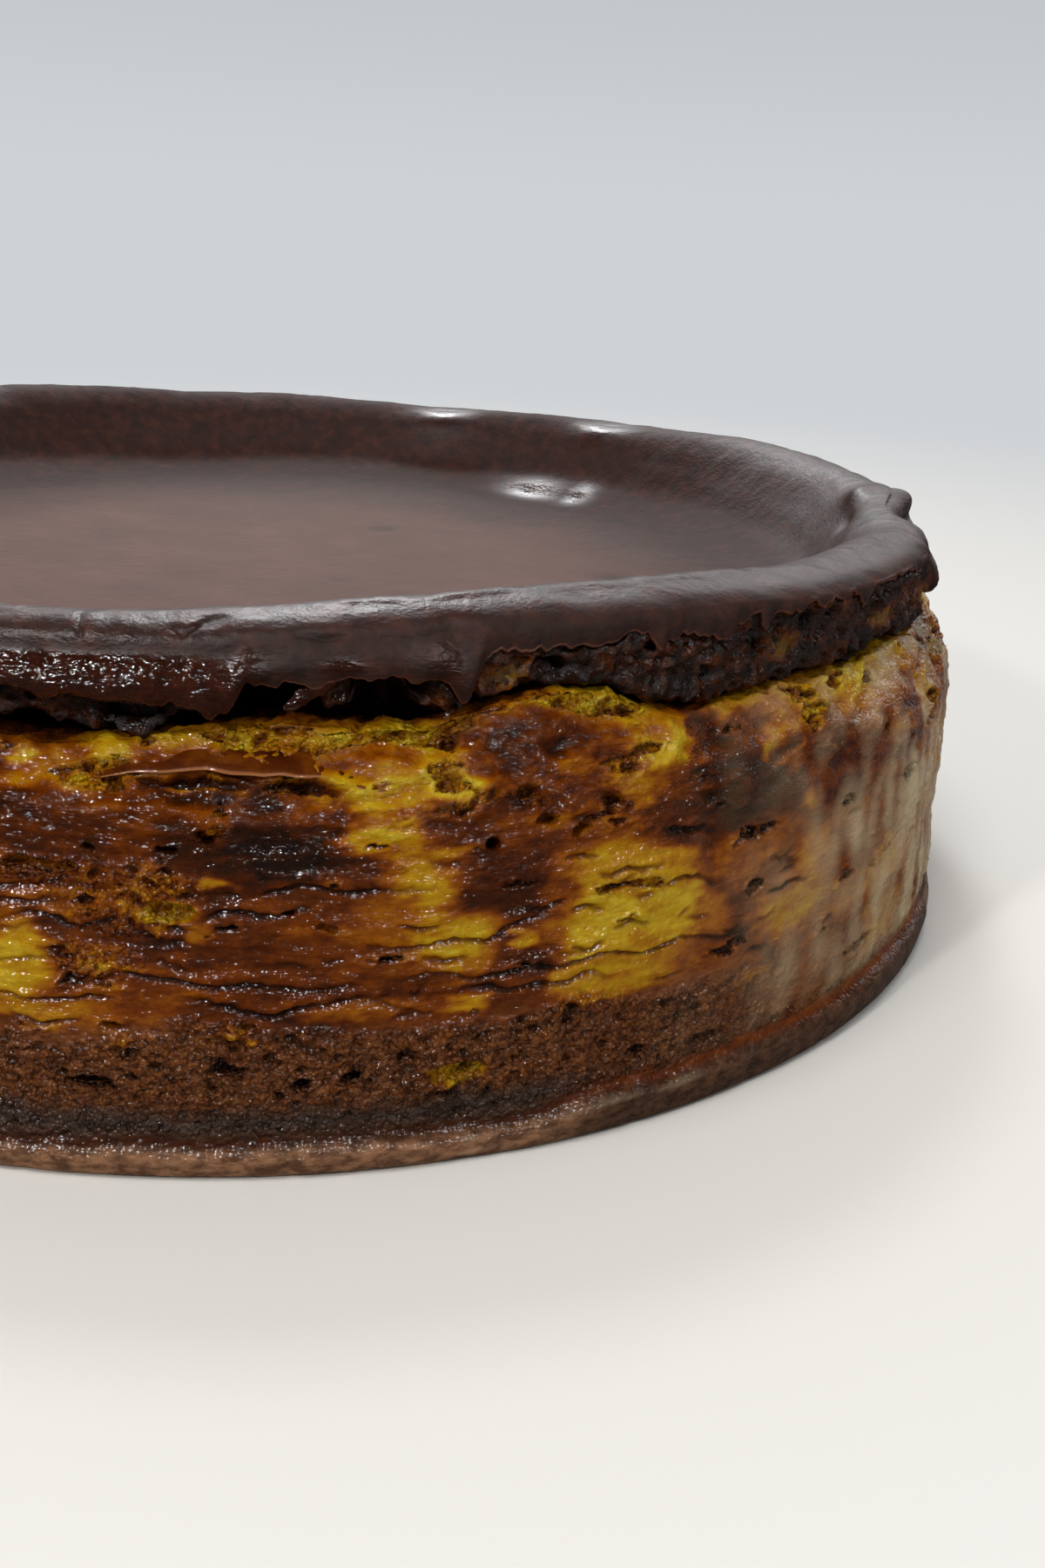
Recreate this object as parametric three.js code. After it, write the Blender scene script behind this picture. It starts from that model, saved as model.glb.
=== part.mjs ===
// A baked cheesecake in the burnt Basque style: one round solid with a proud browned rim, a sunken middle,
// a ragged crack under the rim where the risen top tore free of the wall, and a thin foot at the base.
// Millimetres, +Z up. The origin is the centre of the base. Angles are degrees from +X; the front is -90.
import * as THREE from "three";

// Driving dimensions.
const TIN_RADIUS = 76; // inside radius of the 152 mm tin that shaped the wall
const RIM_HEIGHT = 41.3; // mean height of the rim's crest
const FLOOR_HEIGHT = 31.2; // height of the sunken middle
const FOOT_HEIGHT = 2.5; // thin pressed edge round the base
const SEGMENTS = 120; // facets round the cake

// Sizes that follow from them.
const BURNT_RADIUS = TIN_RADIUS - 0.9; // the shrunken band just over the foot
const BURNT_TOP = FOOT_HEIGHT + 2.6;
const WALL_TAPER = 1; // how much narrower the wall is under its shoulder
const SHOULDER_HEIGHT = RIM_HEIGHT * 0.63;
const SILL_HEIGHT = RIM_HEIGHT * 0.8; // the crack's lower edge
const SILL_RADIUS = TIN_RADIUS - 5;
const LIP_RADIUS = TIN_RADIUS - 4.4; // the rim's outer face, over the crack
const CREST_RADIUS = TIN_RADIUS - 7;
const SLOPE_FOOT_RADIUS = TIN_RADIUS * 0.71; // where the inner slope meets the sunken middle
const CRACK_DEPTH = 7;
const GAP_HEIGHT = 1.7;
const CRUMB_RECESS = 1.7; // the torn crumb under the rim's skin stands back this far
const LIP_EDGE_HEIGHT = RIM_HEIGHT - 5.4; // lower edge of the rim's skin where it is whole

// Where the crest swells up or sinks.
const CREST_SWELLS = [
  { at: -58, width: 17, rise: 1.4 },
  { at: -97, width: 14, rise: -0.5 },
  { at: 30, width: 22, rise: 0.6 },
  { at: 88, width: 16, rise: -0.5 },
  { at: 132, width: 16, rise: 1 },
  { at: 205, width: 20, rise: -0.5 },
];
// Where the rim's skin is torn off higher up, so that more of the crumb shows.
const TEARS = [
  { from: -69, to: -20, rise: 3.4 },
  { from: -82.5, to: -71, rise: 1.6 },
  { from: 38, to: 84, rise: 3.1 },
  { from: 106, to: 116, rise: 1.7 },
  { from: 150, to: 198, rise: 3.3 },
  { from: 222, to: 236, rise: 1.5 },
];
// Where the wall's top edge stands higher or lower.
const SILL_SWELLS = [
  { at: -64, width: 6, rise: 2.1 },
  { at: -80, width: 3, rise: 0.8 },
  { at: -96, width: 7, rise: -1.5 },
  { at: 52, width: 7, rise: 1.7 },
  { at: 128, width: 9, rise: -1.2 },
  { at: 176, width: 8, rise: 1.8 },
  { at: 246, width: 8, rise: 1 },
];
// Scraps of crumb that still join the rim to the wall across the crack.
const BRIDGES = [
  { at: -70.5, width: 1.8 },
  { at: -88, width: 2.2 },
  { at: -14, width: 7 },
  { at: 22, width: 3 },
  { at: 63, width: 2 },
  { at: 97, width: 3.5 },
  { at: 141, width: 2 },
  { at: 187, width: 3 },
  { at: 229, width: 2.5 },
];
// A bite out of the rim's edge.
const RIM_BITE = { at: -7, width: 5.5, depth: 3 };

const radians = (deg) => (deg * Math.PI) / 180;
const mix = (a, b, t) => a + (b - a) * t;
const clamp = (t) => Math.min(1, Math.max(0, t));
const ease = (t) => t * t * (3 - 2 * t);
const turn = (deg) => ((deg % 360) + 360) % 360;
// Signed angle from one direction to another, from -180 to 180.
const between = (from, to) => turn(to - from + 180) - 180;

// A repeatable value from 0 to 1 for a whole number and a seed.
function draw(i, seed) {
  const s = Math.sin(i * 127.1 + seed * 311.7) * 43758.5453;
  return s - Math.floor(s);
}

// A smooth wave from -1 to 1 that runs round the cake through `count` drawn values.
function ripple(deg, count, seed) {
  const t = (turn(deg) / 360) * count;
  const i = Math.floor(t);
  const value = mix(draw(i % count, seed), draw((i + 1) % count, seed), ease(t - i));
  return value * 2 - 1;
}

// The same over the wall, with a new wave every `step` millimetres of height.
function dapple(deg, z, count, step, seed) {
  const j = Math.floor(z / step);
  const low = ripple(deg, count, seed + 17 * j);
  const high = ripple(deg, count, seed + 17 * (j + 1));
  return mix(low, high, ease(z / step - j));
}

// Sum of rounded swells at this angle.
const swell = (deg, { at, width }) => Math.exp(-((between(at, deg) / width) ** 2));
const swells = (deg, list) => list.reduce((sum, s) => sum + s.rise * swell(deg, s), 0);

// How far up the rim's skin is torn at this angle.
function tear(deg) {
  const END = 1.2; // degrees over which a tear runs out
  return TEARS.reduce((most, { from, to, rise }) => {
    const middle = (from + to) / 2;
    const inside = (to - from) / 2 - Math.abs(between(middle, deg));
    return Math.max(most, rise * ease(clamp(inside / END + 0.5)));
  }, 0);
}

const bridge = (deg) => Math.min(1, BRIDGES.reduce((sum, b) => sum + swell(deg, b), 0));
const bite = (deg) => RIM_BITE.depth * swell(deg, RIM_BITE);

const crestHeight = (deg) => RIM_HEIGHT + swells(deg, CREST_SWELLS) + 0.25 * ripple(deg, 30, 5);
const sillHeight = (deg) => SILL_HEIGHT + swells(deg, SILL_SWELLS) + 0.5 * ripple(deg, 40, 11);

function lipEdgeHeight(deg) {
  const highest = crestHeight(deg) - 1.9;
  return Math.min(highest, LIP_EDGE_HEIGHT + tear(deg) + 0.5 * ripple(deg, 60, 21));
}

// Radius of the wall: a slight taper, then a shoulder that turns in to the crack's lower edge.
function wallRadius(deg, z) {
  const sill = sillHeight(deg);
  const straight = TIN_RADIUS - WALL_TAPER * clamp(z / SHOULDER_HEIGHT);
  const up = clamp((z - SHOULDER_HEIGHT) / (sill - SHOULDER_HEIGHT));
  const lumps = 0.5 * dapple(deg, z, 34, 7, 31) + 0.3 * dapple(deg, z, 70, 3.5, 47);
  const rough = mix(0.7, 1.5, up) * lumps;
  return Math.min(TIN_RADIUS, mix(straight, SILL_RADIUS, up ** 1.7) - 0.35 + rough);
}

// Rings of the outline as [radius, height], from the centre of the base outwards.
function footRings(deg) {
  const edge = TIN_RADIUS + 0.1 * ripple(deg, 36, 61);
  return [
    [0, 0],
    [TIN_RADIUS * 0.5, 0],
    [edge - 1.2, 0],
    [edge - 0.2, 0.6],
    [edge, FOOT_HEIGHT * 0.6],
    [edge - 0.2, FOOT_HEIGHT],
    [BURNT_RADIUS + 0.3 * ripple(deg, 50, 67), FOOT_HEIGHT + 0.9],
    [BURNT_RADIUS + 0.3 * ripple(deg, 50, 71), BURNT_TOP],
  ];
}

function wallRings(deg) {
  const ROWS = 14;
  const bottom = BURNT_TOP + 1;
  const sill = sillHeight(deg);
  return Array.from({ length: ROWS }, (_, i) => {
    const z = mix(bottom, sill - 0.3, i / (ROWS - 1));
    return [wallRadius(deg, z), z];
  });
}

// Over the wall's top edge, in to the bottom of the crack, and back out under the rim.
function crackRings(deg) {
  const closed = bridge(deg);
  const sill = sillHeight(deg);
  const edge = lipEdgeHeight(deg);
  const gap = mix(GAP_HEIGHT + 0.5 * ripple(deg, 44, 81), 0.6, closed);
  const roof = Math.min(sill + gap, edge - 0.6);
  const face = LIP_RADIUS - bite(deg) - mix(CRUMB_RECESS, 0.5, closed) + 0.4 * ripple(deg, 64, 83);
  const bottom = SILL_RADIUS - mix(CRACK_DEPTH + 1.5 * ripple(deg, 26, 85), 1.8, closed);
  const middle = (bottom + Math.min(SILL_RADIUS, face)) / 2;
  return [
    [middle, sill + 0.1],
    [bottom, (sill + roof) / 2],
    [middle, roof],
    [face - 0.5, roof + 0.2],
    [face, mix(roof, edge, 0.5)],
    [face + 0.1, edge - 0.2],
  ];
}

// The rim's rounded outer face, from its ragged lower edge up to the crest.
function lipRings(deg) {
  const edge = lipEdgeHeight(deg);
  const crest = crestHeight(deg);
  const outer = LIP_RADIUS - bite(deg) + 0.35 * ripple(deg, 48, 91);
  const round = (t) => mix(CREST_RADIUS - bite(deg), outer, Math.sqrt(1 - t * t));
  return [
    [outer - 0.1, edge],
    [round(0.3), mix(edge, crest, 0.35)],
    [round(0.62), mix(edge, crest, 0.7)],
    [round(0.88), mix(edge, crest, 0.92)],
    [CREST_RADIUS - bite(deg) * 0.6, crest],
  ];
}

// The slope inside the rim and the sunken middle, in to the centre of the top.
function topRings(deg) {
  const crest = crestHeight(deg);
  const start = CREST_RADIUS - bite(deg) * 0.6;
  const foot = SLOPE_FOOT_RADIUS + 1.5 * ripple(deg, 12, 95);
  const SLOPE_STEPS = [0.14, 0.3, 0.5, 0.72, 1];
  const FLOOR_STEPS = [0.8, 0.52, 0.26];
  const slope = SLOPE_STEPS.map((t) => {
    const down = t < 0.5 ? 2 * t * t : 1 - 2 * (1 - t) ** 2;
    return [mix(start, foot, t), mix(crest, FLOOR_HEIGHT + 1, down)];
  });
  const floor = FLOOR_STEPS.map((t) => {
    const wave = 0.25 * ripple(deg, 9, 97) * t;
    return [SLOPE_FOOT_RADIUS * t, FLOOR_HEIGHT + wave + 0.4 * t * t];
  });
  return [...slope, ...floor, [0, FLOOR_HEIGHT]];
}

const outline = (deg) => [
  ...footRings(deg),
  ...wallRings(deg),
  ...crackRings(deg),
  ...lipRings(deg),
  ...topRings(deg),
];

// A lathe makes the closed skin, and each vertex then takes its own angle's outline.
function cakeGeometry() {
  const profile = outline(0).map(([r, z]) => new THREE.Vector2(r, z));
  const geometry = new THREE.LatheGeometry(profile, SEGMENTS);
  geometry.rotateX(Math.PI / 2);
  const position = geometry.getAttribute("position");
  for (let s = 0; s <= SEGMENTS; s++) {
    const deg = ((s % SEGMENTS) / SEGMENTS) * 360;
    outline(deg).forEach(([r, z], ring) => {
      const index = s * profile.length + ring;
      position.setXYZ(index, r * Math.cos(radians(deg)), r * Math.sin(radians(deg)), z);
    });
  }
  geometry.computeVertexNormals();
  return geometry;
}

const bakedCheese = new THREE.MeshStandardMaterial({ color: 0x5a2e12, roughness: 0.4, metalness: 0 });
const cheesecake = new THREE.Mesh(cakeGeometry(), bakedCheese);
cheesecake.name = "cheesecake";

const cake = new THREE.Group();
cake.add(cheesecake);

export default cake;
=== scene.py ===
"""A baked cheesecake in the burnt style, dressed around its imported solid.

Lengths are millimetres until a mesh is placed. Angles are degrees round the cake from +X, and the front
is -90. The skin is laid out as two grids of columns (round the cake) and rows. One runs from the base up the
wall and into the crack. The other runs from there out under the rim, over it and down to the middle of the
top. Both are cut into pieces along columns and rows."""
import math

import bmesh
import bpy
import numpy as np
from mathutils import Matrix, Vector


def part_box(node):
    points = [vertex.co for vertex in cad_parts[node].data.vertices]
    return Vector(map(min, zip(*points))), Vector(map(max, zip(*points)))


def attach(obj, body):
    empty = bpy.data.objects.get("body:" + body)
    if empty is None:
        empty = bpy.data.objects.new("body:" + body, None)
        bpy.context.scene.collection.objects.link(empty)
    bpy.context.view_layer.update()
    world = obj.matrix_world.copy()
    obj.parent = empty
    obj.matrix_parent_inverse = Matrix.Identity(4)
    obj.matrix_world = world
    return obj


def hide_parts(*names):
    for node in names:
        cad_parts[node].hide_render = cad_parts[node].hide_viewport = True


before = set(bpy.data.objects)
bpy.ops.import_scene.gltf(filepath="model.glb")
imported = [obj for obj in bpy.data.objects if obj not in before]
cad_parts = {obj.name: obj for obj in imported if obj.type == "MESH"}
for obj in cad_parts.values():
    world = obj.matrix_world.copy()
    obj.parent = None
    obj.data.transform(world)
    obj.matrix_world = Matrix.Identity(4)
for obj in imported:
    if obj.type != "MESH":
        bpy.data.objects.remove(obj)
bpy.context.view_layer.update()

MM = 0.001
BODY = "root"
NODE = "cheesecake"

# Driving sizes, read from the solid's own box.
LOW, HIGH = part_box(NODE)
TIN_RADIUS = round((HIGH.x - LOW.x) / 2 / MM)
MM_PER_DEGREE = TIN_RADIUS * math.pi / 180  # along the wall
RIM_HEIGHT = HIGH.z / MM - 1.2  # mean height of the crest, under its highest swell
FLOOR_HEIGHT = RIM_HEIGHT - 10.1  # the sunken middle
FOOT_HEIGHT = 2.5

BURNT_RADIUS = TIN_RADIUS - 0.9
BURNT_TOP = FOOT_HEIGHT + 2.6
WALL_TAPER = 1.0
SHOULDER_HEIGHT = RIM_HEIGHT * 0.63
SILL_HEIGHT = RIM_HEIGHT * 0.8
SILL_RADIUS = TIN_RADIUS - 5.0
LIP_RADIUS = TIN_RADIUS - 4.4
CREST_RADIUS = TIN_RADIUS - 7.0
SLOPE_FOOT_RADIUS = TIN_RADIUS * 0.71
CRACK_DEPTH = 7.0
GAP_HEIGHT = 1.7
CRUMB_RECESS = 1.7
LIP_EDGE_HEIGHT = RIM_HEIGHT - 5.4

# Forms shared with the solid: (angle, width in degrees, rise in mm).
CREST_SWELLS = [
    (-58, 17, 1.4), (-97, 14, -0.5), (30, 22, 0.6), (88, 16, -0.5), (132, 16, 1.0), (205, 20, -0.5),
]
SILL_SWELLS = [
    (-64, 6, 2.1), (-80, 3, 0.8), (-96, 7, -1.5), (52, 7, 1.7), (128, 9, -1.2), (176, 8, 1.8),
    (246, 8, 1.0),
]
# (from, to, rise)
TEARS = [
    (-69, -20, 3.4), (-82.5, -70.2, 1.6), (38, 84, 3.1), (106, 116, 1.7), (150, 198, 3.3), (222, 236, 1.5),
]
# (angle, width)
BRIDGES = [
    (-88, 2.2), (-70.2, 0.9), (-14, 7), (22, 3), (63, 2), (97, 3.5), (141, 2), (187, 3), (229, 2.5),
]
RIM_BITE = (-7, 5.5, 3.0)  # angle, width, depth

# Ragged bits of the rim's skin: (angle, width to the left and to the right in mm, drop in mm). A negative
# drop is a notch.
FLAKES = [
    (-78.2, 1.2, 1.6, 0.6), (-69.6, 1.4, 0.5, 0.3), (-93.0, 1.4, 1.4, 0.5), (-84.0, 0.8, 0.8, 0.6),
    (-86.2, 0.5, 0.5, -0.5), (-66.0, 0.8, 0.8, 0.3), (-61.0, 1.6, 1.6, 0.5), (-57.0, 0.7, 0.7, 0.8),
    (-52.0, 1.4, 1.4, 1.1), (-48.2, 0.7, 0.7, 1.2), (-36.0, 2.0, 2.0, 0.8), (-30.5, 0.8, 0.8, -0.4),
]


# ---------------------------------------------------------------- numbers that repeat

def mix(a, b, t):
    return a + (b - a) * t


def ease(t):
    return t * t * (3 - 2 * t)


def step(low, high, x):
    """0 below `low`, 1 above `high` (or the other way round when low > high), smooth between."""
    return ease(np.clip((x - low) / (high - low), 0, 1))


def between(start, end):
    """Signed angle from one direction to another, from -180 to 180."""
    return np.mod(end - start + 180, 360) - 180


def sector(deg, start, full, ending, end):
    """1 from the angle `full` to `ending`, and 0 before `start` and past `end`, all from -180 to 180."""
    turned = between(0, deg)
    return step(start, full, turned) * step(end, ending, turned)


def draw(i, seed):
    """A repeatable value from 0 to 1 for a whole number and a seed, the same as the solid's."""
    s = np.sin(i * 127.1 + seed * 311.7) * 43758.5453
    return s - np.floor(s)


def ripple(deg, count, seed):
    """A smooth wave from -1 to 1 that runs round the cake through `count` drawn values."""
    t = np.mod(deg, 360) / 360 * count
    i = np.floor(t)
    return mix(draw(i % count, seed), draw((i + 1) % count, seed), ease(t - i)) * 2 - 1


def dapple(deg, z, count, height, seed):
    """The same over the wall, with a new wave every `height` millimetres."""
    j = np.floor(z / height)
    low = ripple(deg, count, seed + 17 * j)
    high = ripple(deg, count, seed + 17 * (j + 1))
    return mix(low, high, ease(z / height - j))


def lattice(ix, iy, iz, seed):
    """Whole-number hash of a lattice point."""
    h = (ix * 374761393 + iy * 668265263 + iz * 1440662683 + seed * 1274126177) & 0xFFFFFFFF
    h = ((h ^ (h >> 13)) * 1274126177) & 0xFFFFFFFF
    return h ^ (h >> 16)


def noise(p, size, seed):
    """Gradient noise from about -1 to 1 at points p (n, 3). Waves are about `size` mm long (one number or
    three)."""
    q = p / np.asarray(size, float)
    cell = np.floor(q)
    f = q - cell
    i = cell.astype(np.int64)
    w = f * f * f * (f * (f * 6 - 15) + 10)
    total = 0
    for dx in (0, 1):
        for dy in (0, 1):
            for dz in (0, 1):
                h = lattice(i[:, 0] + dx, i[:, 1] + dy, i[:, 2] + dz, seed)
                slope = ((h & 1023) / 511.5 - 1) * (f[:, 0] - dx)
                slope += (((h >> 10) & 1023) / 511.5 - 1) * (f[:, 1] - dy)
                slope += (((h >> 20) & 1023) / 511.5 - 1) * (f[:, 2] - dz)
                weight = (w[:, 0] if dx else 1 - w[:, 0]) * (w[:, 1] if dy else 1 - w[:, 1])
                total = total + slope * weight * (w[:, 2] if dz else 1 - w[:, 2])
    return total * 1.6


def cloud(p, size, seed, octaves=3, gain=0.5):
    """Several sizes of noise added up."""
    size = np.asarray(size, float)
    total, weight, norm = 0, 1.0, 0.0
    for k in range(octaves):
        total = total + weight * noise(p, size / 2 ** k, seed + 101 * k)
        norm += weight * weight
        weight *= gain
    return total / math.sqrt(norm)


def bubbles(p, size, seed):
    """Distance to the nearest of points strewn one to each cell, and that point's own value from 0 to 1."""
    q = p / np.asarray(size, float)
    i = np.floor(q).astype(np.int64)
    f = q - i
    best = np.full(len(q), 9.0)
    own = np.zeros(len(q))
    for dx in (-1, 0, 1):
        for dy in (-1, 0, 1):
            for dz in (-1, 0, 1):
                h = lattice(i[:, 0] + dx, i[:, 1] + dy, i[:, 2] + dz, seed)
                d = (dx + (h & 1023) / 1023 - f[:, 0]) ** 2
                d += (dy + ((h >> 10) & 1023) / 1023 - f[:, 1]) ** 2
                d += (dz + ((h >> 20) & 1023) / 1023 - f[:, 2]) ** 2
                nearer = d < best
                best = np.where(nearer, d, best)
                own = np.where(nearer, ((h >> 5) & 4095) / 4095, own)
    return np.sqrt(best), own


# ---------------------------------------------------------------- the cake's main outline

def swells(deg, rows):
    return sum(rise * np.exp(-(between(at, deg) / width) ** 2) for at, width, rise in rows)


def tear(deg, run_out=1.2):
    """How far up the rim's skin is torn at this angle. Each tear runs out over some degrees."""
    most = np.zeros_like(deg)
    for start, end, rise in TEARS:
        inside = (end - start) / 2 - np.abs(between((start + end) / 2, deg))
        most = np.maximum(most, rise * ease(np.clip(inside / run_out + 0.5, 0, 1)))
    return most


def bridge(deg):
    return np.minimum(1, sum(np.exp(-(between(at, deg) / width) ** 2) for at, width in BRIDGES))


def bite(deg):
    at, width, depth = RIM_BITE
    return depth * np.exp(-(between(at, deg) / width) ** 2)


def crest_height(deg):
    return RIM_HEIGHT + swells(deg, CREST_SWELLS) + 0.25 * ripple(deg, 30, 5)


def sill_height(deg):
    return SILL_HEIGHT + swells(deg, SILL_SWELLS) + 0.5 * ripple(deg, 40, 11) + 0.25 * ripple(deg, 150, 12)


def flakes(deg):
    """How far the rim's skin hangs down in flakes, or is notched."""
    drop = 0
    for at, left, right, fall in FLAKES:
        x = between(at, deg) * math.pi / 180 * LIP_RADIUS
        drop = drop + fall * step(1.2, 0.1, np.where(x < 0, -x / left, x / right))
    return drop


def even_edge(deg):
    """Lower edge of the rim's skin without its small rags."""
    return np.minimum(crest_height(deg) - 1.7, LIP_EDGE_HEIGHT + tear(deg))


def lip_edge_height(deg):
    ragged = 0.5 * ripple(deg, 60, 21) + 0.26 * ripple(deg, 190, 22) + 0.2 * ripple(deg, 430, 23)
    ragged += (0.15 + 0.03 * tear(deg)) * ripple(deg, 900, 24)
    return np.minimum(crest_height(deg) - 1.7, LIP_EDGE_HEIGHT + tear(deg) + ragged) - flakes(deg)


def wall_radius(deg, z):
    sill = sill_height(deg)
    straight = TIN_RADIUS - WALL_TAPER * np.clip(z / SHOULDER_HEIGHT, 0, 1)
    up = np.clip((z - SHOULDER_HEIGHT) / (sill - SHOULDER_HEIGHT), 0, 1)
    lumps = 0.5 * dapple(deg, z, 34, 7, 31) + 0.3 * dapple(deg, z, 70, 3.5, 47)
    return np.minimum(TIN_RADIUS, mix(straight, SILL_RADIUS, up ** 1.7) - 0.35 + mix(0.7, 1.5, up) * lumps)


def through(stations, counts):
    """A smooth line through stations of (radius, height), each an array over the columns, with `counts` rows
    in each stretch. Gives radius and height as (columns, rows) and each row's station number."""
    p = np.stack([np.stack([np.broadcast_to(part, DEG.shape) for part in spot], -1) for spot in stations])
    h = np.maximum(np.linalg.norm(np.diff(p, axis=0), axis=-1), 1e-3)[..., None]
    d = np.diff(p, axis=0) / h
    tangent = np.concatenate([d[:1], (h[:-1] * d[1:] + h[1:] * d[:-1]) / (h[:-1] + h[1:]), d[-1:]])
    lines, where = [], []
    for k, count in enumerate(counts):
        for t in np.arange(count) / count:
            a, b = 2 * t ** 3 - 3 * t ** 2 + 1, t ** 3 - 2 * t ** 2 + t
            lines.append(a * p[k] + b * h[k] * tangent[k] + (1 - a) * p[k + 1]
                         + (t ** 3 - t ** 2) * h[k] * tangent[k + 1])
            where.append(k + t)
    lines.append(p[-1])
    where.append(len(counts))
    line = np.stack(lines, 1)
    return line[..., 0], line[..., 1], np.array(where)


# ---------------------------------------------------------------- the grid of columns and rows

FRONT = (-112.0, 4.0)  # the side with the widest tear gets the finest columns
FRONT_COLUMNS = 800
BACK_COLUMNS = 760


def column_angles():
    start, end = FRONT
    front = np.linspace(start, end, FRONT_COLUMNS + 1)[:-1]
    back = np.linspace(end, start + 360, BACK_COLUMNS + 1)[:-1]
    return np.concatenate([front, back])


DEG = column_angles()

# Sectors where the pressed foot stands taller: (from, to).
TALL_FOOT = [(-63, -18), (88, 150), (196, 232)]


def tall_foot(deg):
    most = np.zeros_like(deg)
    for start, end in TALL_FOOT:
        inside = (end - start) / 2 - np.abs(between((start + end) / 2, deg))
        most = np.maximum(most, step(-2.5, 2.5, inside))
    return most


def foot_height(deg):
    return FOOT_HEIGHT + 1.1 * tall_foot(deg) + 0.25 * ripple(deg, 90, 63) + 0.12 * ripple(deg, 300, 64)


def crack_bottom(deg):
    """Radius and height of the deepest line of the crack, where the wall's skin and the rim's skin meet."""
    closed = bridge(deg)
    radius = SILL_RADIUS - mix(CRACK_DEPTH + 1.5 * ripple(deg, 26, 85), 1.8, closed)
    return radius, sill_height(deg) - 0.7 * (1 - closed)


def wall_line(deg):
    """From the centre of the base, out and up the wall, over its top edge and in to the crack's bottom."""
    edge = TIN_RADIUS + 0.1 * ripple(deg, 36, 61)
    foot = foot_height(deg)
    burnt = BURNT_RADIUS + 0.3 * ripple(deg, 50, 67)
    sill = sill_height(deg)
    bottom, low = crack_bottom(deg)
    start = np.maximum(BURNT_TOP + 1, foot + 2.2)
    stations = [(0, 0), (TIN_RADIUS * 0.5, 0), (edge - 1.2, 0), (edge - 0.3, 0.25), (edge, 1.0),
                (edge - 0.1, foot - 0.35), (mix(edge, burnt, 0.75), foot + 0.15), (burnt, foot + 0.9)]
    counts = [2, 2, 3, 3, 6, 4, 3, 4]
    UP = np.linspace(0, 1, 15)
    for t in UP:
        z = mix(start, sill - 0.9, t)
        stations.append((wall_radius(deg, z), z))
    counts += [12] * (len(UP) - 1) + [6]
    stations += [(SILL_RADIUS - 0.1, sill - 0.2), (SILL_RADIUS - 1.2, sill - 0.1),
                 (mix(bottom, SILL_RADIUS, 0.45), mix(low, sill, 0.35)), (bottom, low)]
    counts += [4, 5, 5]
    r, z, row = through(stations, counts)
    return r, np.maximum(z, 0), row


BRIM = 3.0  # how far down from the crest the rounded shoulder reaches
# The shoulder: mm inward, and how far down the brim where it is whole and where torn.
SHOULDER = [(0.15, 0.75, 0.72), (0.45, 0.50, 0.58), (1.0, 0.28, 0.40), (1.8, 0.12, 0.24), (2.6, 0.05, 0.12)]


def rim_line(deg):
    """From the bottom of the crack, out under the rim, up its face, over the crest and down to the middle."""
    closed, notch = bridge(deg), bite(deg)
    sill, edge, crest = sill_height(deg), lip_edge_height(deg), crest_height(deg)
    bottom, low = crack_bottom(deg)
    hanging = 0.5 * ripple(deg, 110, 82) + 0.35 * ripple(deg, 260, 84)
    bare = np.clip(tear(deg) / 3.4, 0, 1)
    leaning = np.clip(tear(deg, 9.0) / 3.4, 0, 1)  # the shoulder leans in over a torn stretch
    gap = mix(GAP_HEIGHT + 0.5 * ripple(deg, 44, 81) + hanging, 0.55 + 0.5 * hanging, bare ** 2)
    gap = mix(gap, 0.25, closed)
    roof = np.minimum(sill + gap, edge - 0.5)
    face = LIP_RADIUS - notch - mix(CRUMB_RECESS - 0.9 * bare, 0.5, closed) + 0.4 * ripple(deg, 64, 83)
    outer = LIP_RADIUS - notch + 0.35 * ripple(deg, 48, 91) + 0.12 * ripple(deg, 210, 92)
    top = CREST_RADIUS - 0.8 - 1.4 * leaning - notch * 0.6
    lowest = SHOULDER[0][2]  # the shoulder's first ring, where torn, stays over the skin's edge
    brim = np.minimum(BRIM - leaning, (crest - even_edge(deg) - 0.4) / lowest)

    stations = [(bottom, low), (bottom + 0.8, mix(low, roof, 0.75)), (mix(bottom, face, 0.5), roof + 0.1),
                (face - 0.7, roof), (face - 0.1, roof + 0.45), (face, mix(roof, edge, 0.55)),
                (face + 0.15, edge - 0.35), (outer - 0.6, edge - 0.12), (outer - 0.1, edge),
                (outer, edge + 0.25)]
    for inward, down, torn_down in SHOULDER:
        stations.append((outer - inward * (1 + 0.35 * leaning), crest - mix(down, torn_down, leaning) * brim))
    stations.append((top, crest))
    counts = [3, 4, 4, 4, 7, 8, 4, 3, 4, 6, 6, 6, 6, 5, 5]
    foot = SLOPE_FOOT_RADIUS + 1.5 * ripple(deg, 12, 95)
    for t in (0.14, 0.3, 0.5, 0.72, 1):
        down = 2 * t * t if t < 0.5 else 1 - 2 * (1 - t) ** 2
        stations.append((mix(top, foot, t), mix(crest, FLOOR_HEIGHT + 1, down)))
        counts.append(6)
    for t in (0.8, 0.52, 0.26):
        wave = 0.25 * ripple(deg, 9, 97) * t
        stations.append((SLOPE_FOOT_RADIUS * t, FLOOR_HEIGHT + wave + 0.4 * t * t))
        counts.append(11)
    stations.append((0, FLOOR_HEIGHT))
    counts.append(14)
    return through(stations, counts)


def points_on(r, z):
    """Points (n, 3) of a grid of radii and heights over the columns."""
    a = np.radians(DEG)[:, None]
    return np.stack([r * np.cos(a), r * np.sin(a), z], -1).reshape(-1, 3)


def outward(r, z):
    """Unit direction square to each column's line, as its parts in radius and height."""
    dr, dz = np.gradient(r, axis=1), np.gradient(z, axis=1)
    length = np.maximum(np.hypot(dr, dz), 1e-6)
    return dz / length, -dr / length


# ---------------------------------------------------------------- what lies where on the wall

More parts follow.
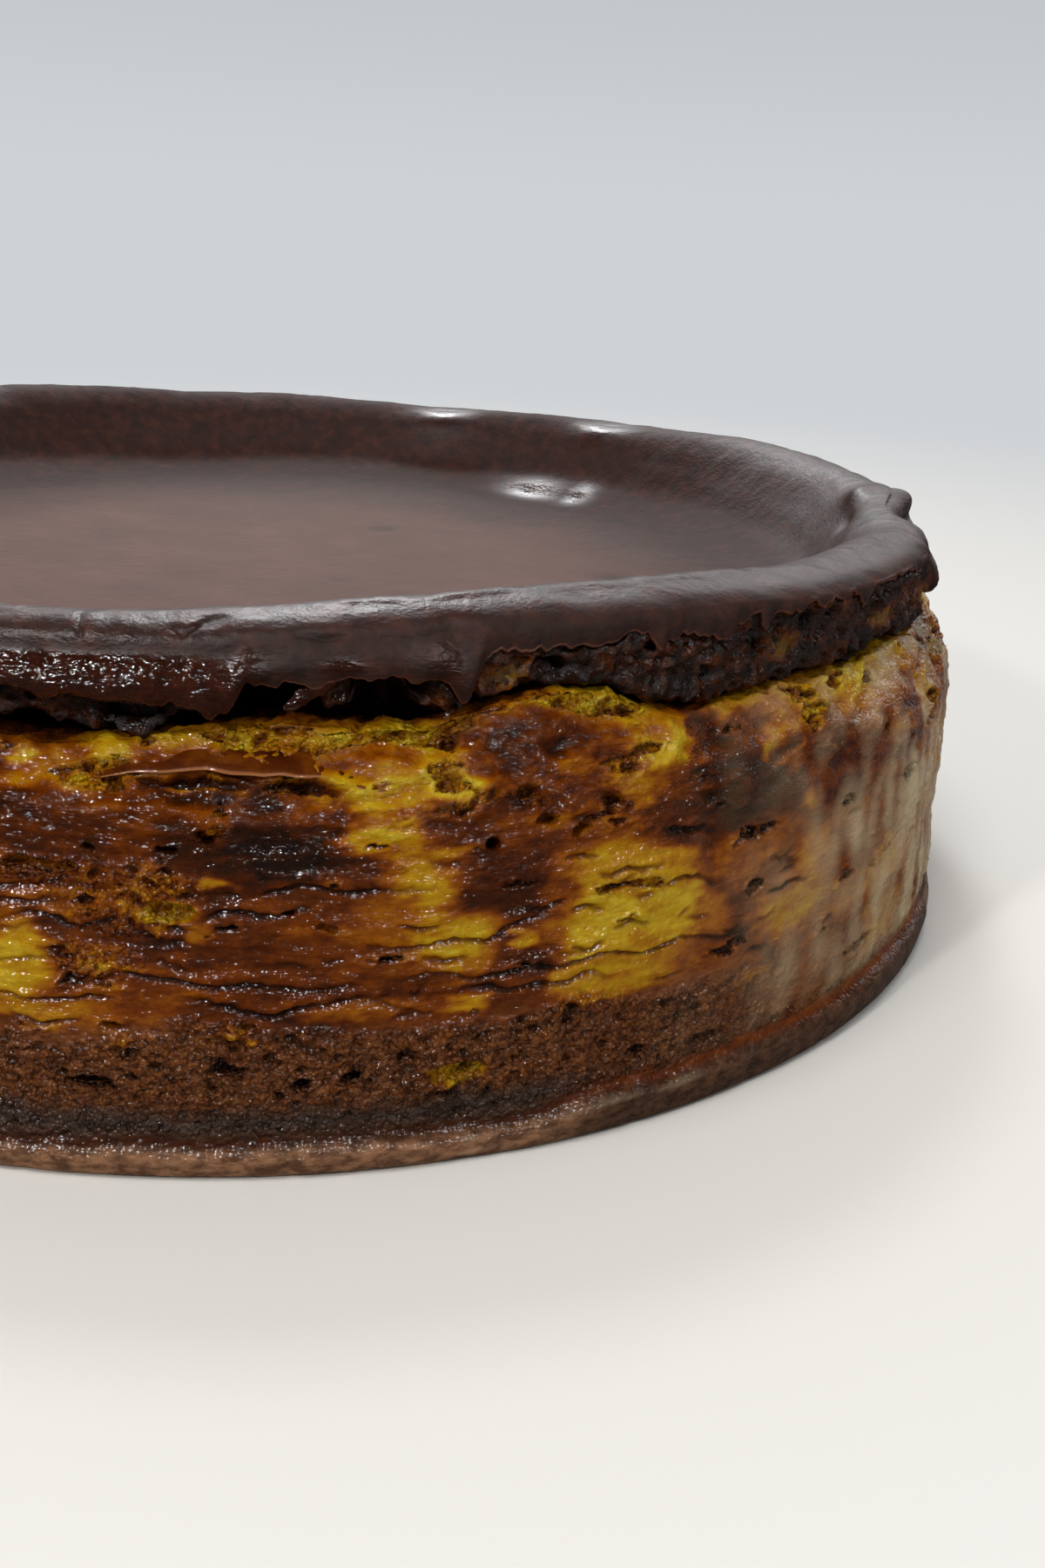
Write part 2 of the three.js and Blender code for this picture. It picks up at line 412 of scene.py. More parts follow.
# Browning tones: 0 is bare yellow-green crumb, 0.5 amber skin, 1 is burnt black.
# Each patch: angle, height, half-width and half-height in mm, tone.
TONE_PATCHES = [
    (-94.5, 17.0, 2.8, 3.2, 0.06), (-93.0, 13.3, 3.5, 0.9, 0.28), (-90.0, 17.5, 2.8, 1.5, 0.36),
    (-91.0, 22.2, 4.2, 1.8, 0.46), (-92.0, 27.3, 5.0, 2.0, 0.76), (-93.5, 29.8, 3.2, 0.9, 0.27),
    (-94.8, 31.3, 1.6, 0.6, 0.03), (-89.5, 31.9, 1.8, 0.9, 0.16), (-87.0, 23.2, 2.8, 1.2, 0.36),
    (-86.0, 21.3, 3.0, 1.0, 0.14), (-83.5, 22.8, 1.2, 0.5, 0.12), (-84.0, 19.3, 1.4, 0.9, 0.30),
    (-86.2, 28.5, 2.4, 1.2, 0.78), (-84.5, 29.7, 2.8, 0.5, 0.16), (-80.5, 28.6, 3.4, 1.4, 0.74),
    (-80.0, 25.7, 5.6, 1.9, 0.97), (-79.0, 22.0, 3.4, 1.3, 0.66), (-81.0, 17.0, 6.2, 2.3, 0.68),
    (-77.0, 18.9, 1.7, 0.8, 0.42), (-83.0, 11.6, 2.4, 0.7, 0.28), (-89.0, 11.8, 3.2, 0.8, 0.42),
    (-83.5, 31.6, 6.6, 0.6, 0.62), (-86.0, 33.0, 3.4, 0.5, 0.26), (-75.6, 33.1, 5.4, 1.0, 0.10),
    (-79.6, 33.2, 1.2, 0.9, 0.48), (-74.0, 29.6, 5.4, 1.2, 0.06), (-71.3, 29.9, 2.4, 1.2, 0.03),
    (-75.0, 26.8, 3.1, 1.4, 0.10), (-72.4, 23.5, 2.4, 2.6, 0.12), (-71.0, 18.6, 3.4, 2.6, 0.08),
    (-74.4, 20.0, 2.2, 2.0, 0.42), (-75.5, 17.0, 3.0, 1.5, 0.60), (-76.0, 13.6, 3.7, 0.9, 0.42),
    (-79.0, 11.8, 3.2, 1.2, 0.74), (-69.7, 13.8, 2.0, 0.9, 0.14), (-70.5, 31.5, 3.2, 1.3, 0.26),
    (-65.6, 32.4, 5.6, 2.0, 0.80), (-61.8, 35.3, 4.4, 0.5, 0.12), (-57.2, 31.2, 2.7, 1.6, 0.07),
    (-62.4, 30.4, 1.8, 0.6, 0.44), (-71.2, 27.2, 2.4, 1.1, 0.66), (-67.3, 22.6, 3.4, 3.0, 0.82),
    (-67.5, 26.8, 2.6, 1.4, 0.54), (-64.5, 26.9, 1.3, 0.8, 0.32), (-63.3, 25.9, 1.0, 0.5, 0.14),
    (-62.0, 28.7, 2.6, 1.2, 0.66), (-59.2, 28.5, 1.8, 1.5, 0.28), (-60.5, 26.0, 3.4, 0.9, 0.52),
    (-60.4, 22.8, 4.8, 2.2, 0.16), (-61.2, 18.2, 4.4, 3.1, 0.02), (-56.4, 18.2, 3.6, 3.0, 0.04),
    (-60.0, 13.6, 6.4, 2.0, 0.13), (-63.8, 14.4, 2.0, 1.2, 0.20), (-57.0, 22.2, 3.0, 1.6, 0.20),
    (-64.6, 21.2, 1.4, 1.2, 0.56), (-66.4, 17.8, 1.2, 0.8, 0.18), (-67.4, 13.4, 1.8, 2.8, 0.66),
    (-50.5, 27.4, 6.2, 3.1, 0.86), (-51.0, 31.4, 4.2, 1.6, 0.76), (-51.5, 33.3, 5.2, 0.5, 0.16),
    (-47.8, 29.4, 1.5, 0.8, 0.16), (-46.0, 30.6, 3.1, 0.6, 0.34), (-46.0, 28.0, 2.3, 0.4, 0.46),
    (-50.5, 21.2, 4.7, 2.2, 0.46), (-49.0, 17.7, 1.3, 1.3, 0.60), (-52.8, 17.0, 2.6, 1.6, 0.34),
    (-47.0, 15.0, 3.2, 2.0, 0.22), (-52.5, 12.0, 4.2, 2.4, 0.52), (-49.0, 10.5, 1.6, 1.0, 0.32),
    (-46.0, 7.4, 3.2, 1.6, 0.56), (-70.0, 7.5, 2.3, 0.9, 0.10), (-58.0, 9.0, 5.2, 1.2, 0.62),
    (-45.0, 24.5, 1.6, 1.1, 0.26), (-44.4, 19.2, 2.6, 2.3, 0.26), (-44.6, 14.6, 2.6, 1.1, 0.20),
    (-41.0, 30.4, 4.2, 0.5, 0.34), (-41.0, 28.2, 5.4, 1.8, 0.76), (-40.5, 24.4, 4.6, 2.4, 0.70),
    (-39.0, 21.0, 4.0, 1.0, 0.46), (-33.0, 27.2, 2.2, 1.1, 0.30), (-34.0, 14.4, 4.2, 2.6, 0.24),
    (-33.0, 8.2, 4.2, 2.4, 0.26), (-39.0, 17.4, 5.0, 1.6, 0.60), (-40.0, 9.0, 4.2, 3.0, 0.64),
    (-26.0, 28.8, 3.7, 1.3, 0.16), (-30.6, 25.2, 3.2, 1.6, 0.72), (-27.0, 14.5, 3.2, 3.2, 0.40),
    (-20.0, 20.0, 5.6, 4.6, 0.30), (-18.0, 31.2, 6.4, 1.4, 0.80), (-22.0, 9.0, 4.4, 3.0, 0.52),
]

# Hollows where the crumb broke away: angle, height, half-width and half-height in mm, depth, tone inside.
# Their dark insides are painted shade, and those at 30.1 to 30.5 mm are painted shadow under the skin curl.
HOLLOWS = [
    (-90.6, 7.6, 1.7, 0.55, 1.4, 0.70), (-83.2, 9.0, 1.4, 0.35, 1.1, 0.75),
    (-79.1, 7.8, 0.6, 0.45, 1.3, 0.85), (-76.3, 7.8, 0.75, 0.4, 1.3, 0.85),
    (-70.2, 7.3, 2.6, 0.9, 0.7, 0.12), (-90.3, 25.9, 0.4, 0.3, 0.8, 0.9),
    (-86.2, 26.0, 0.7, 0.25, 0.9, 0.85), (-84.0, 26.6, 0.4, 0.25, 0.8, 0.9),
    (-68.6, 25.7, 0.6, 0.5, 1.7, 0.95), (-71.2, 5.9, 2.2, 0.22, 1.2, 0.95),
    (-63.1, 25.9, 0.8, 0.4, 1.3, 0.35), (-61.0, 27.9, 0.9, 0.5, 1.2, 0.45),
    (-66.3, 29.1, 0.9, 0.5, 1.1, 0.45), (-65.2, 27.0, 0.9, 0.35, 1.0, 0.5),
    (-77.6, 19.8, 0.9, 0.2, 0.5, 0.5), (-75.0, 26.2, 0.9, 0.12, 0.5, 0.6),
    (-66.8, 22.4, 1.5, 0.14, 0.6, 0.7), (-86.0, 21.2, 1.6, 0.6, 0.9, 0.15),
    (-93.0, 24.2, 2.4, 0.5, 0.8, 0.45), (-58.4, 6.5, 1.0, 0.4, 0.9, 0.7), (-53.0, 5.9, 2.4, 0.3, 0.7, 0.8),
    (-78.6, 30.1, 2.2, 0.3, 0.9, 0.55), (-84.8, 30.5, 3.8, 0.32, 1.0, 0.7),
    (-79.2, 30.5, 2.4, 0.28, 0.8, 0.6), (-89.4, 12.4, 0.7, 0.3, 0.6, 0.5),
    (-82.0, 12.2, 0.6, 0.3, 0.6, 0.4),
]

# Long creases in the skin, as (angle, height) along each: a groove darkened with painted shade, and a raised
# fold over it lightened with a painted highlight.
CREASES = [
    [(-96, 20.1), (-93.5, 20.5), (-91, 20.2), (-88.5, 20.5), (-86, 20.0), (-84, 19.7)],
    [(-84.5, 20.3), (-83, 21.2), (-81, 21.1), (-78.5, 21.5)],
    [(-81.2, 22.6), (-80.6, 23.0), (-79, 23.4), (-76.5, 23.1), (-74, 22.8), (-72, 23.2)],
    [(-92.5, 15.0), (-90.5, 15.7), (-88.5, 16.5), (-86, 15.9), (-83, 15.4), (-79, 15.2), (-75.5, 15.5)],
    [(-96, 14.5), (-93, 14.1), (-90.5, 14.5), (-89, 14.2)],
    [(-86, 14.7), (-84, 14.2), (-82.4, 13.4), (-80.4, 13.3), (-78, 14.2), (-76, 14.4), (-74.3, 13.7),
     (-72, 12.6)],
    [(-75.5, 18.4), (-73, 18.0), (-70.8, 18.6), (-68.6, 18.3), (-66.5, 19.2), (-65, 19.8)],
    [(-74.4, 15.6), (-72, 15.9), (-69.5, 15.2), (-67, 15.6), (-64, 15.3), (-61.5, 15.8), (-58.6, 15.1),
     (-55.5, 15.6), (-53, 14.9), (-50, 14.1)],
    [(-70.6, 14.2), (-68.6, 14.5), (-66.5, 14.1), (-64.6, 13.7), (-62.2, 14.2), (-60.6, 13.7)],
    [(-70, 10.2), (-67, 10.0), (-64.4, 10.4), (-61.6, 10.0), (-58.2, 10.5), (-54.4, 10.2)],
    [(-62.0, 22.2), (-61.0, 21.8), (-60.0, 22.2), (-58.8, 21.8), (-57.6, 22.3)],
    [(-61.4, 21.2), (-60.4, 20.9), (-59.4, 21.2)], [(-60.8, 17.4), (-59.6, 17.9), (-58.2, 17.5)],
    [(-63.6, 19.4), (-62.6, 19.9), (-61.4, 19.5)], [(-63.6, 17.0), (-62.6, 16.5), (-61.2, 16.8)],
    [(-57.6, 20.6), (-56.2, 20.9), (-54.8, 20.4), (-53.2, 19.6)],
    [(-57.6, 24.9), (-55.6, 24.4), (-53.4, 23.8)], [(-64.0, 23.6), (-62.8, 24.0), (-61.8, 23.6)],
    [(-66.6, 20.4), (-65.2, 20.0), (-63.8, 20.5)], [(-48.6, 17.2), (-46.6, 17.6), (-44.6, 17.3)],
    [(-72.4, 17.2), (-71.0, 16.7), (-69.6, 17.1)], [(-95.0, 12.6), (-93.0, 12.2), (-91.0, 12.7)],
    [(-74.0, 20.2), (-72.6, 19.8), (-71.4, 20.2)],
]
# Rounded lumps of skin: angle, height, half-width and half-height in mm, rise.
BULGES = [
    (-91.5, 28.2, 4.6, 1.3, 0.55), (-95.4, 29.2, 1.8, 0.9, 0.5), (-86.6, 28.5, 1.6, 1.0, 0.5),
    (-84.2, 27.8, 1.3, 0.8, 0.35), (-80.2, 28.2, 2.9, 1.0, 0.55), (-57.2, 31.0, 2.5, 1.9, 0.8),
    (-51.5, 28.6, 3.4, 2.3, 0.8), (-47.2, 30.2, 1.8, 1.6, 0.5), (-65.0, 31.8, 4.6, 1.5, 0.5),
    (-93.8, 31.2, 1.6, 0.7, 0.4), (-89.6, 32.2, 1.4, 0.7, 0.5), (-60.8, 34.4, 3.4, 0.7, 0.3),
    (-72.4, 31.2, 3.2, 0.8, 0.35), (-77.0, 30.2, 2.0, 0.6, 0.3), (-69.0, 29.2, 1.8, 0.9, 0.4),
    (-63.2, 28.0, 1.6, 0.8, 0.4), (-43.0, 31.2, 2.6, 1.4, 0.5), (-38.0, 28.4, 3.0, 1.6, 0.5),
    (-60.6, 20.2, 5.5, 4.0, 0.35), (-71.6, 21.6, 3.4, 3.6, 0.25), (-94.6, 17.2, 3.0, 3.0, 0.3),
    (-80.4, 24.8, 6.0, 1.6, 0.3),
]
CREASE_DEPTH = 0.42
CREASE_WIDTH = 0.19
FOLD_ABOVE, FOLD_WIDTH = 0.62, 0.42
STRAY_CREASES = 420
STRAY_MIDDLE, STRAY_SPREAD = 17.5, 4.2  # their heights
STRAY_LOWEST, STRAY_HIGHEST = 11.5, 26
FINEST = (FRONT[0] + 14, -14)  # only short ones here, between the long ones


def stray_creases():
    """Shorter creases strewn round the wall, as the long ones are on the front."""
    rng = np.random.default_rng(14)
    found = []
    while len(found) < STRAY_CREASES:
        at, height = rng.uniform(-180, 180), rng.normal(STRAY_MIDDLE, STRAY_SPREAD)
        front = FINEST[0] < at < FINEST[1]
        if front:
            length = rng.uniform(0.8, 3.2)
        else:
            length = rng.choice([2.0, 3.5, 12.0, 20.0]) * rng.uniform(0.6, 1.2)
        if not STRAY_LOWEST < height < STRAY_HIGHEST or (front and rng.random() < 0.45):
            continue
        count = 3 + int(length / 3)
        angles = at + np.linspace(0, 1, count) * length / MM_PER_DEGREE
        heights = height + rng.uniform(-0.16, 0.16) * (angles - at) + rng.normal(0, 0.22, count)
        found.append(list(zip(angles, heights)))
    return found


def crease_field(deg, z, warp, creases):
    """Groove depth and fold height, from 0 to 1, at points given by angle and height. `warp` wavers lines."""
    groove, fold = np.zeros_like(z), np.zeros_like(z)
    for crease in creases:
        middle = crease[len(crease) // 2][0]
        line = np.array([((a - middle) * MM_PER_DEGREE, h) for a, h in crease])
        low, high = line.min(0) - 2, line.max(0) + 2
        s = between(middle, deg) * MM_PER_DEGREE
        near = np.flatnonzero((s > low[0]) & (s < high[0]) & (z > low[1]) & (z < high[1]))
        x, y = s[near] + warp[near, 0], z[near] + warp[near, 1]
        best, side, along = np.full(len(near), 9.0), np.zeros(len(near)), np.zeros(len(near))
        for k, (a, b) in enumerate(zip(line[:-1], line[1:])):
            d = b - a
            t = np.clip(((x - a[0]) * d[0] + (y - a[1]) * d[1]) / (d @ d), 0, 1)
            dx, dy = x - a[0] - t * d[0], y - a[1] - t * d[1]
            gap = np.hypot(dx, dy)
            nearer = gap < best
            best, side = np.where(nearer, gap, best), np.where(nearer, dy, side)
            along = np.where(nearer, (k + t) / (len(line) - 1), along)
        faded = np.sin(np.pi * np.clip(along, 0, 1)) ** 0.5
        groove[near] = np.maximum(groove[near], faded * np.exp(-(best / CREASE_WIDTH) ** 2))
        raised = np.exp(-((side - FOLD_ABOVE) / FOLD_WIDTH) ** 2)
        fold[near] = np.maximum(fold[near], faded * raised * step(1.6, 0.5, best))
    return groove, fold


def patches(deg, z, warp, rows, edge=0.35):
    """For each patch, the columns and rows it covers and how strongly, from 0 to 1."""
    for at, height, half_width, half_height, *rest in rows:
        s = between(at, deg) * MM_PER_DEGREE
        beside, level = half_width * 1.8 + 1.5, half_height * 1.8 + 1.5
        near = np.flatnonzero((np.abs(s) < beside) & (np.abs(z - height) < level))
        q = np.hypot((s[near] + warp[near, 0]) / half_width, (z[near] + warp[near, 1]) / half_height
                     - height / half_height)
        yield near, step(1 + edge, 1 - edge, q), q, rest


# ---------------------------------------------------------------- the wall

# The skin's usual tone, and how well it covers the crumb, as heights and their values.
TONE_BY_HEIGHT = ([0, 6, 11, 13, 20, 25, 29, 31.5, 33, 60],
                  [0.66, 0.63, 0.63, 0.63, 0.67, 0.71, 0.75, 0.54, 0.37, 0.30])
CLOSED_BY_HEIGHT = ([10, 14, 25, 28, 31, 34], [0.6, 0.62, 0.58, 0.36, 0.16, -0.12])
# Places near the top where the skin held: angle, height, half-width and half-height in mm.
HELD_SKIN = [
    (-65.0, 32.0, 6.5, 2.6), (-50.0, 30.0, 7.0, 4.0), (-40.0, 29.0, 6.5, 3.4), (-30.0, 29.0, 6.0, 4.0),
    (-92.0, 28.0, 6.0, 1.8), (-80.5, 28.4, 4.0, 1.6),
]
POROUS_PATCHES = [
    (-88.0, 22.3, 5.4, 2.4), (-90.0, 17.6, 3.2, 1.6), (-93.0, 24.2, 3.8, 0.9), (-76.5, 33.0, 5.4, 0.9),
    (-66.0, 28.8, 2.0, 0.8), (-61.2, 27.2, 1.6, 0.6), (-83.5, 11.8, 3.4, 1.2),
]
FOOT_CREASES = [
    (-94.6, 0.3), (-79.6, 0.5), (-67.4, 0.3), (-58.6, 0.6), (-49.2, 0.7), (-41, 0.5), (-27, 0.4), (6, 0.6),
    (31, 0.4), (58, 0.6), (77, 0.4), (104, 0.6), (133, 0.5), (160, 0.6), (184, 0.4), (214, 0.7), (243, 0.4),
]
SHELF_ROW = 23.0  # station where the line turns in over the wall's top edge
# Sectors with a look of their own: angles where each starts, is full, begins to end and has ended.
WELL_SEEN = (-104, -100, -14, -8)  # creases and hollows are placed one by one here
SMOOTHER = (-58, -44, -8, 14)
# Sector whose tone is made paler, partly for paler skin and partly as painted light.
PALER_SIDE = (-54, -36, -10, 10)
# Sector with pale beige streaks, mostly a painted sheen of grazing reflection.
PALE_SHEEN_SECTOR = (-60, -20, -8, 14)
LESS_RUST = (-58, -38, -8, 14)


def form_wall():
    """The wall's grid, and what its material reads at each point."""
    r, z, row = wall_line(DEG)
    shape = r.shape
    nr, nz = outward(r, z)
    p = points_on(r, z)
    deg, z = np.repeat(DEG, shape[1]), z.reshape(-1)
    row = np.tile(row, shape[0])
    foot, tall = np.repeat(foot_height(DEG), shape[1]), np.repeat(tall_foot(DEG), shape[1])
    broad = np.stack([
        noise(p, 4.5, 201) * 1.7 + noise(p, (1.8, 1.8, 0.7), 203) * 1.0 + noise(p, 0.7, 205) * 0.2,
        noise(p, 4.5, 202) * 1.0 + noise(p, (2.2, 2.2, 0.9), 204) * 0.6 + noise(p, 0.7, 206) * 0.12], -1)
    fine = np.stack([noise(p, 1.4, 211) * 0.35 + noise(p, 0.6, 214) * 0.2,
                     noise(p, (3, 3, 2), 212) * 0.45 + noise(p, 0.8, 213) * 0.16], -1)

    shelf = step(SHELF_ROW - 0.3, SHELF_ROW + 0.8, row)
    on_wall = step(foot + 0.3, foot + 1.4, z) * (1 - shelf)
    porous = step(12.4, 10.6, z + 1.6 * noise(p, (9, 9, 5), 221)) * on_wall
    for near, weight, _, _ in patches(deg, z, broad, POROUS_PATCHES):
        porous[near] = np.maximum(porous[near], weight * 0.9)
    stray_porous = step(0.42, 0.62, cloud(p, (8, 8, 3), 222)) * step(11, 14, z) * on_wall
    hidden_side = 1 - sector(deg, *WELL_SEEN)
    porous = np.maximum(porous, 0.85 * stray_porous * hidden_side)
    porous *= 1 - 0.8 * sector(deg, *SMOOTHER) * step(3.5, 6.5, z)
    upper = step(24.5, 28.5, z + noise(p, 7, 223)) * (1 - shelf)
    skin = (1 - porous) * on_wall

    # Sheets of skin torn open over wet crumb, mostly near the top.
    closed = np.interp(z + noise(p, 5, 424), *CLOSED_BY_HEIGHT)
    cover = cloud(p, (7, 7, 2.4), 421, 4) + closed
    for near, weight, _, _ in patches(deg, z, broad * 0.5, HELD_SKIN):
        cover[near] += 0.4 * weight
    opened = step(0.05, -0.05, cover) * on_wall * skin
    curled = np.exp(-((cover - 0.09) / 0.06) ** 2) * on_wall * skin
    under = np.exp(-((cover + 0.06) / 0.05) ** 2) * on_wall * skin
    porous = np.maximum(porous, opened)

    # Relief, outward in mm.
    rise = 0.26 * skin * noise(p, (10, 10, 2.8), 401) + 0.16 * curled - 0.34 * opened
    rise += 0.13 * skin * (0.4 - 2 * np.abs(noise(p, (5, 5, 1.3), 402)))
    rise += 0.7 * upper * (0.26 - np.abs(noise(p, (4.2, 4.2, 2.0), 403)))
    rise += 0.22 * upper * (0.2 - np.abs(noise(p, (1.8, 1.8, 0.9), 404)))
    rise += on_wall * (0.05 * noise(p, 0.8, 405) + 0.04 * noise(p, (0.7, 0.7, 0.4), 406))
    pit, own = bubbles(p + 0.3 * noise(p, 0.9, 411)[:, None], (1.7, 1.7, 1.2), 412)
    speck, speck_own = bubbles(p, (0.8, 0.8, 0.6), 413)
    pits = step(0.48, 0.2, pit) * step(0.35, 0.6, own)
    specks = step(0.5, 0.2, speck) * step(0.3, 0.6, speck_own)
    crumbs = 0.22 * noise(p, 1.1, 414) + 0.12 * noise(p, 0.6, 415)
    rise += porous * (crumbs - 0.6 * pits * own - 0.22 * specks)
    for near, weight, _, (lump,) in patches(deg, z, broad * 0.3, BULGES, 0.8):
        rise[near] += lump * weight
    groove, fold = crease_field(deg, z, fine, CREASES)
    slight_groove, slight_fold = crease_field(deg, z, fine, stray_creases())
    slight = mix(0.6, 1.0, hidden_side)
    groove, fold = np.maximum(groove, slight * slight_groove), np.maximum(fold, slight * slight_fold)
    bare = np.clip(skin + 0.15, 0, 1)
    rise += bare * (0.15 * fold - CREASE_DEPTH * groove)
    low_spots = sunk(rise.reshape(shape)) * on_wall
    # Painted shade in the grooves of the creases and in the crumb's pits and specks.
    depth = 0.6 * groove * bare + porous * (1 - 0.5 * upper) * (0.6 * pits * own + 0.25 * specks)

    # Browning.
    # This side's tone is made paler: partly paler skin, partly painted light standing in for more light on
    # that side.
    faded = 0.14 * sector(deg, *PALER_SIDE)
    tone = np.interp(z + 0.8 * noise(p, 6, 231), *TONE_BY_HEIGHT)
    marbling = cloud(p, (9, 9, 6.5), 301, 4)
    tone = tone + mix(0.24, 0.40, hidden_side) * marbling * np.interp(z, [5, 11, 14, 60], [0.3, 0.6, 1, 1])
    tone = np.clip(tone - 1.3 * faded, 0.04, 0.84)
    for near, weight, _, (target,) in patches(deg, z, broad, TONE_PATCHES, 0.55):
        tone[near] = mix(tone[near], target, 0.92 * weight)
    streaks = cloud(p, (3.2, 3.2, 0.9), 305, 3)
    # Grooves darkened as painted shade, folds lightened as painted highlight.
    tone += mix(0.10, 0.16, porous) * streaks + 0.05 * noise(p, 0.7, 306) + 0.16 * groove - 0.03 * fold
    tone = mix(tone, 0.14 + 0.16 * noise(p, 1.8, 425), 0.8 * opened * upper)
    # Painted shadow just past each torn edge, under the curled skin; the curled edge itself slightly lighter
    # as a painted highlight.
    tone += 0.10 * under * upper - 0.05 * curled
    depth = np.maximum(depth, 0.45 * under)
    # Painted shade in the low spots of the relief, strongest on the crumb and near the top.
    cavity_shade = np.clip(0.25 + 0.5 * upper + 0.6 * porous, 0, 1)
    tone += 0.20 * cavity_shade * np.clip(low_spots, -0.8, 1)
    depth = np.maximum(depth, 0.5 * cavity_shade * step(0.5, 1.3, low_spots))
    for near, weight, q, (hollow, target) in patches(deg, z, fine, HOLLOWS, 0.25):
        rise[near] += 0.16 * np.exp(-((q - 1.25) / 0.25) ** 2) * on_wall[near] - hollow * weight
        tone[near] = mix(tone[near], target, weight)
        # Painted shade inside the hollows, darkest where their tone inside is dark.
        dark = mix(0.1, 0.9, step(0.3, 0.85, target))
        depth[near] = np.maximum(depth[near], dark * weight * step(0.1, 0.8, weight))

    # The burnt band over the foot, and the smooth pressed foot itself.
    burnt = step(1.5, 2.4, z + 0.5 * noise(p, (5, 5, 2), 241))
    burnt = burnt * step(6.4, 4.6, z + 0.7 * noise(p, (3, 3, 2), 242))
    tone = mix(tone, 0.84, burnt * mix(0.95, 0.12, tall) * (1 - shelf))
    footed = 1 - step(foot - 0.5, foot + 0.3, z)
    # A painted highlight along the top edge of the foot where it stands tall.
    foot_edge_highlight = np.exp(-((z - foot + 0.5) / 0.3) ** 2) * step(0.1, 0.5, noise(p, (7, 7, 4), 243))
    foot_tone = 0.78 + 0.14 * tall + 0.05 * noise(p, (4, 4, 1.5), 244) + 0.13 * step(1.2, 0.3, z)
    tone = mix(tone, foot_tone, footed * mix(step(2.6, 1.6, z), 1, tall))
    crease = sum(np.exp(-(between(at, deg) * MM_PER_DEGREE / width) ** 2) for at, width in FOOT_CREASES)
    rise += footed * step(0.05, 0.6, z) * (0.1 * noise(p, (6, 6, 3), 245) - 0.14 * crease)
    tone += 0.16 * footed * crease
    flecks = 0.3 * step(0.45, 0.75, noise(p, (3.5, 3.5, 0.7), 246))
    pale = 0.4 * footed * foot_edge_highlight * tall + flecks * footed * (1 - tall)

    # Torn crumb on the shelf inside the crack, turning dark deeper in with painted shade.
    rise += shelf * (0.4 * noise(p, 1.8, 431) + 0.2 * noise(p, 0.8, 432) - 0.3 * pits)
    inner = step(SHELF_ROW + 0.7, SHELF_ROW + 2.2, row)
    tone = mix(tone, 0.62 + 0.3 * noise(p, 3, 433), inner)
    depth = np.maximum(depth, 0.8 * inner)

    # Pale beige streaks: mostly painted sheen of grazing reflection on this side, with some paler skin.
    pale_sheen = sector(deg, *PALE_SHEEN_SECTOR) * on_wall
    runs = 0.60 + 0.75 * noise(p, (2.2, 2.2, 7), 261) + 0.55 * noise(p, (5, 5, 4), 262)
    pale_sheen *= runs - 0.42 * step(20, 27, z)
    rust = step(13.0, 10.4, z + 1.4 * noise(p, (7, 7, 4), 224)) * on_wall * step(0.25, 0.5, tone)
    rust *= 1 - 0.7 * sector(deg, *LESS_RUST)
    damp = 0.5 * step(0.15, 0.5, noise(p, (6, 6, 3), 251)) * on_wall
    wet = np.clip(upper * 0.9 + 2.5 * faded + 0.35 * skin + damp, 0, 1)
    p = p + rise[:, None] * offsets(deg, nr.reshape(-1), nz.reshape(-1))
    # pale carries the painted sheen and the foot's painted edge highlight; depth carries painted shade.
    reads = {"tone": np.clip(tone, 0, 1), "porous": porous, "depth": np.clip(depth, 0, 1), "wet": wet,
             "pale": np.clip(pale + pale_sheen, 0, 1), "rust": rust, "ash": burnt * (1 - 0.8 * tall) * on_wall,
             "foot": footed * (1 - 0.72 * tall)}
    return p.reshape(*shape, 3), reads


def smoothed(field, columns, rows):
    """A grid's field averaged over a window of columns and rows, twice over, round the cake."""
    for _ in range(2):
        wide = np.concatenate([field[-columns:], field, field[:columns + 1]])
        total = np.cumsum(wide, 0)
        field = (total[2 * columns + 1:] - total[:-2 * columns - 1]) / (2 * columns + 1)
        tall = np.pad(field, ((0, 0), (rows + 1, rows)), mode="edge")
        total = np.cumsum(tall, 1)
        field = (total[:, 2 * rows + 1:] - total[:, :-2 * rows - 1]) / (2 * rows + 1)
    return field


def sunk(relief):
    """How far each point lies below its surroundings: 1 at about 0.3 mm, under 0 where it stands proud."""
    return ((smoothed(relief, 5, 4) - relief) / 0.3).reshape(-1)


def offsets(deg, nr, nz):
    """Outward directions turned to each point's own angle."""
    a = np.radians(deg)
    return np.stack([nr * np.cos(a), nr * np.sin(a), nz], -1)


# ---------------------------------------------------------------- the rim and the sunken top

# Holes in the torn crumb under the rim: angle, height, half-width and half-height in mm, depth. Each is
# darkened inside with painted shade.
RIM_HOLLOWS = [
    (-80.2, 35.9, 2.9, 1.5, 3.6), (-74.2, 36.2, 2.6, 1.7, 2.8), (-64.4, 37.2, 1.2, 0.9, 3.2),
    (-43.2, 38.2, 0.9, 0.6, 1.8), (-40.6, 38.5, 0.8, 0.4, 1.6), (-48.0, 37.0, 0.8, 0.5, 1.4),
    (-88.6, 34.4, 2.2, 0.8, 1.8), (-57.4, 38.6, 0.9, 0.5, 1.4), (-34.0, 37.8, 1.2, 0.6, 1.6),
]
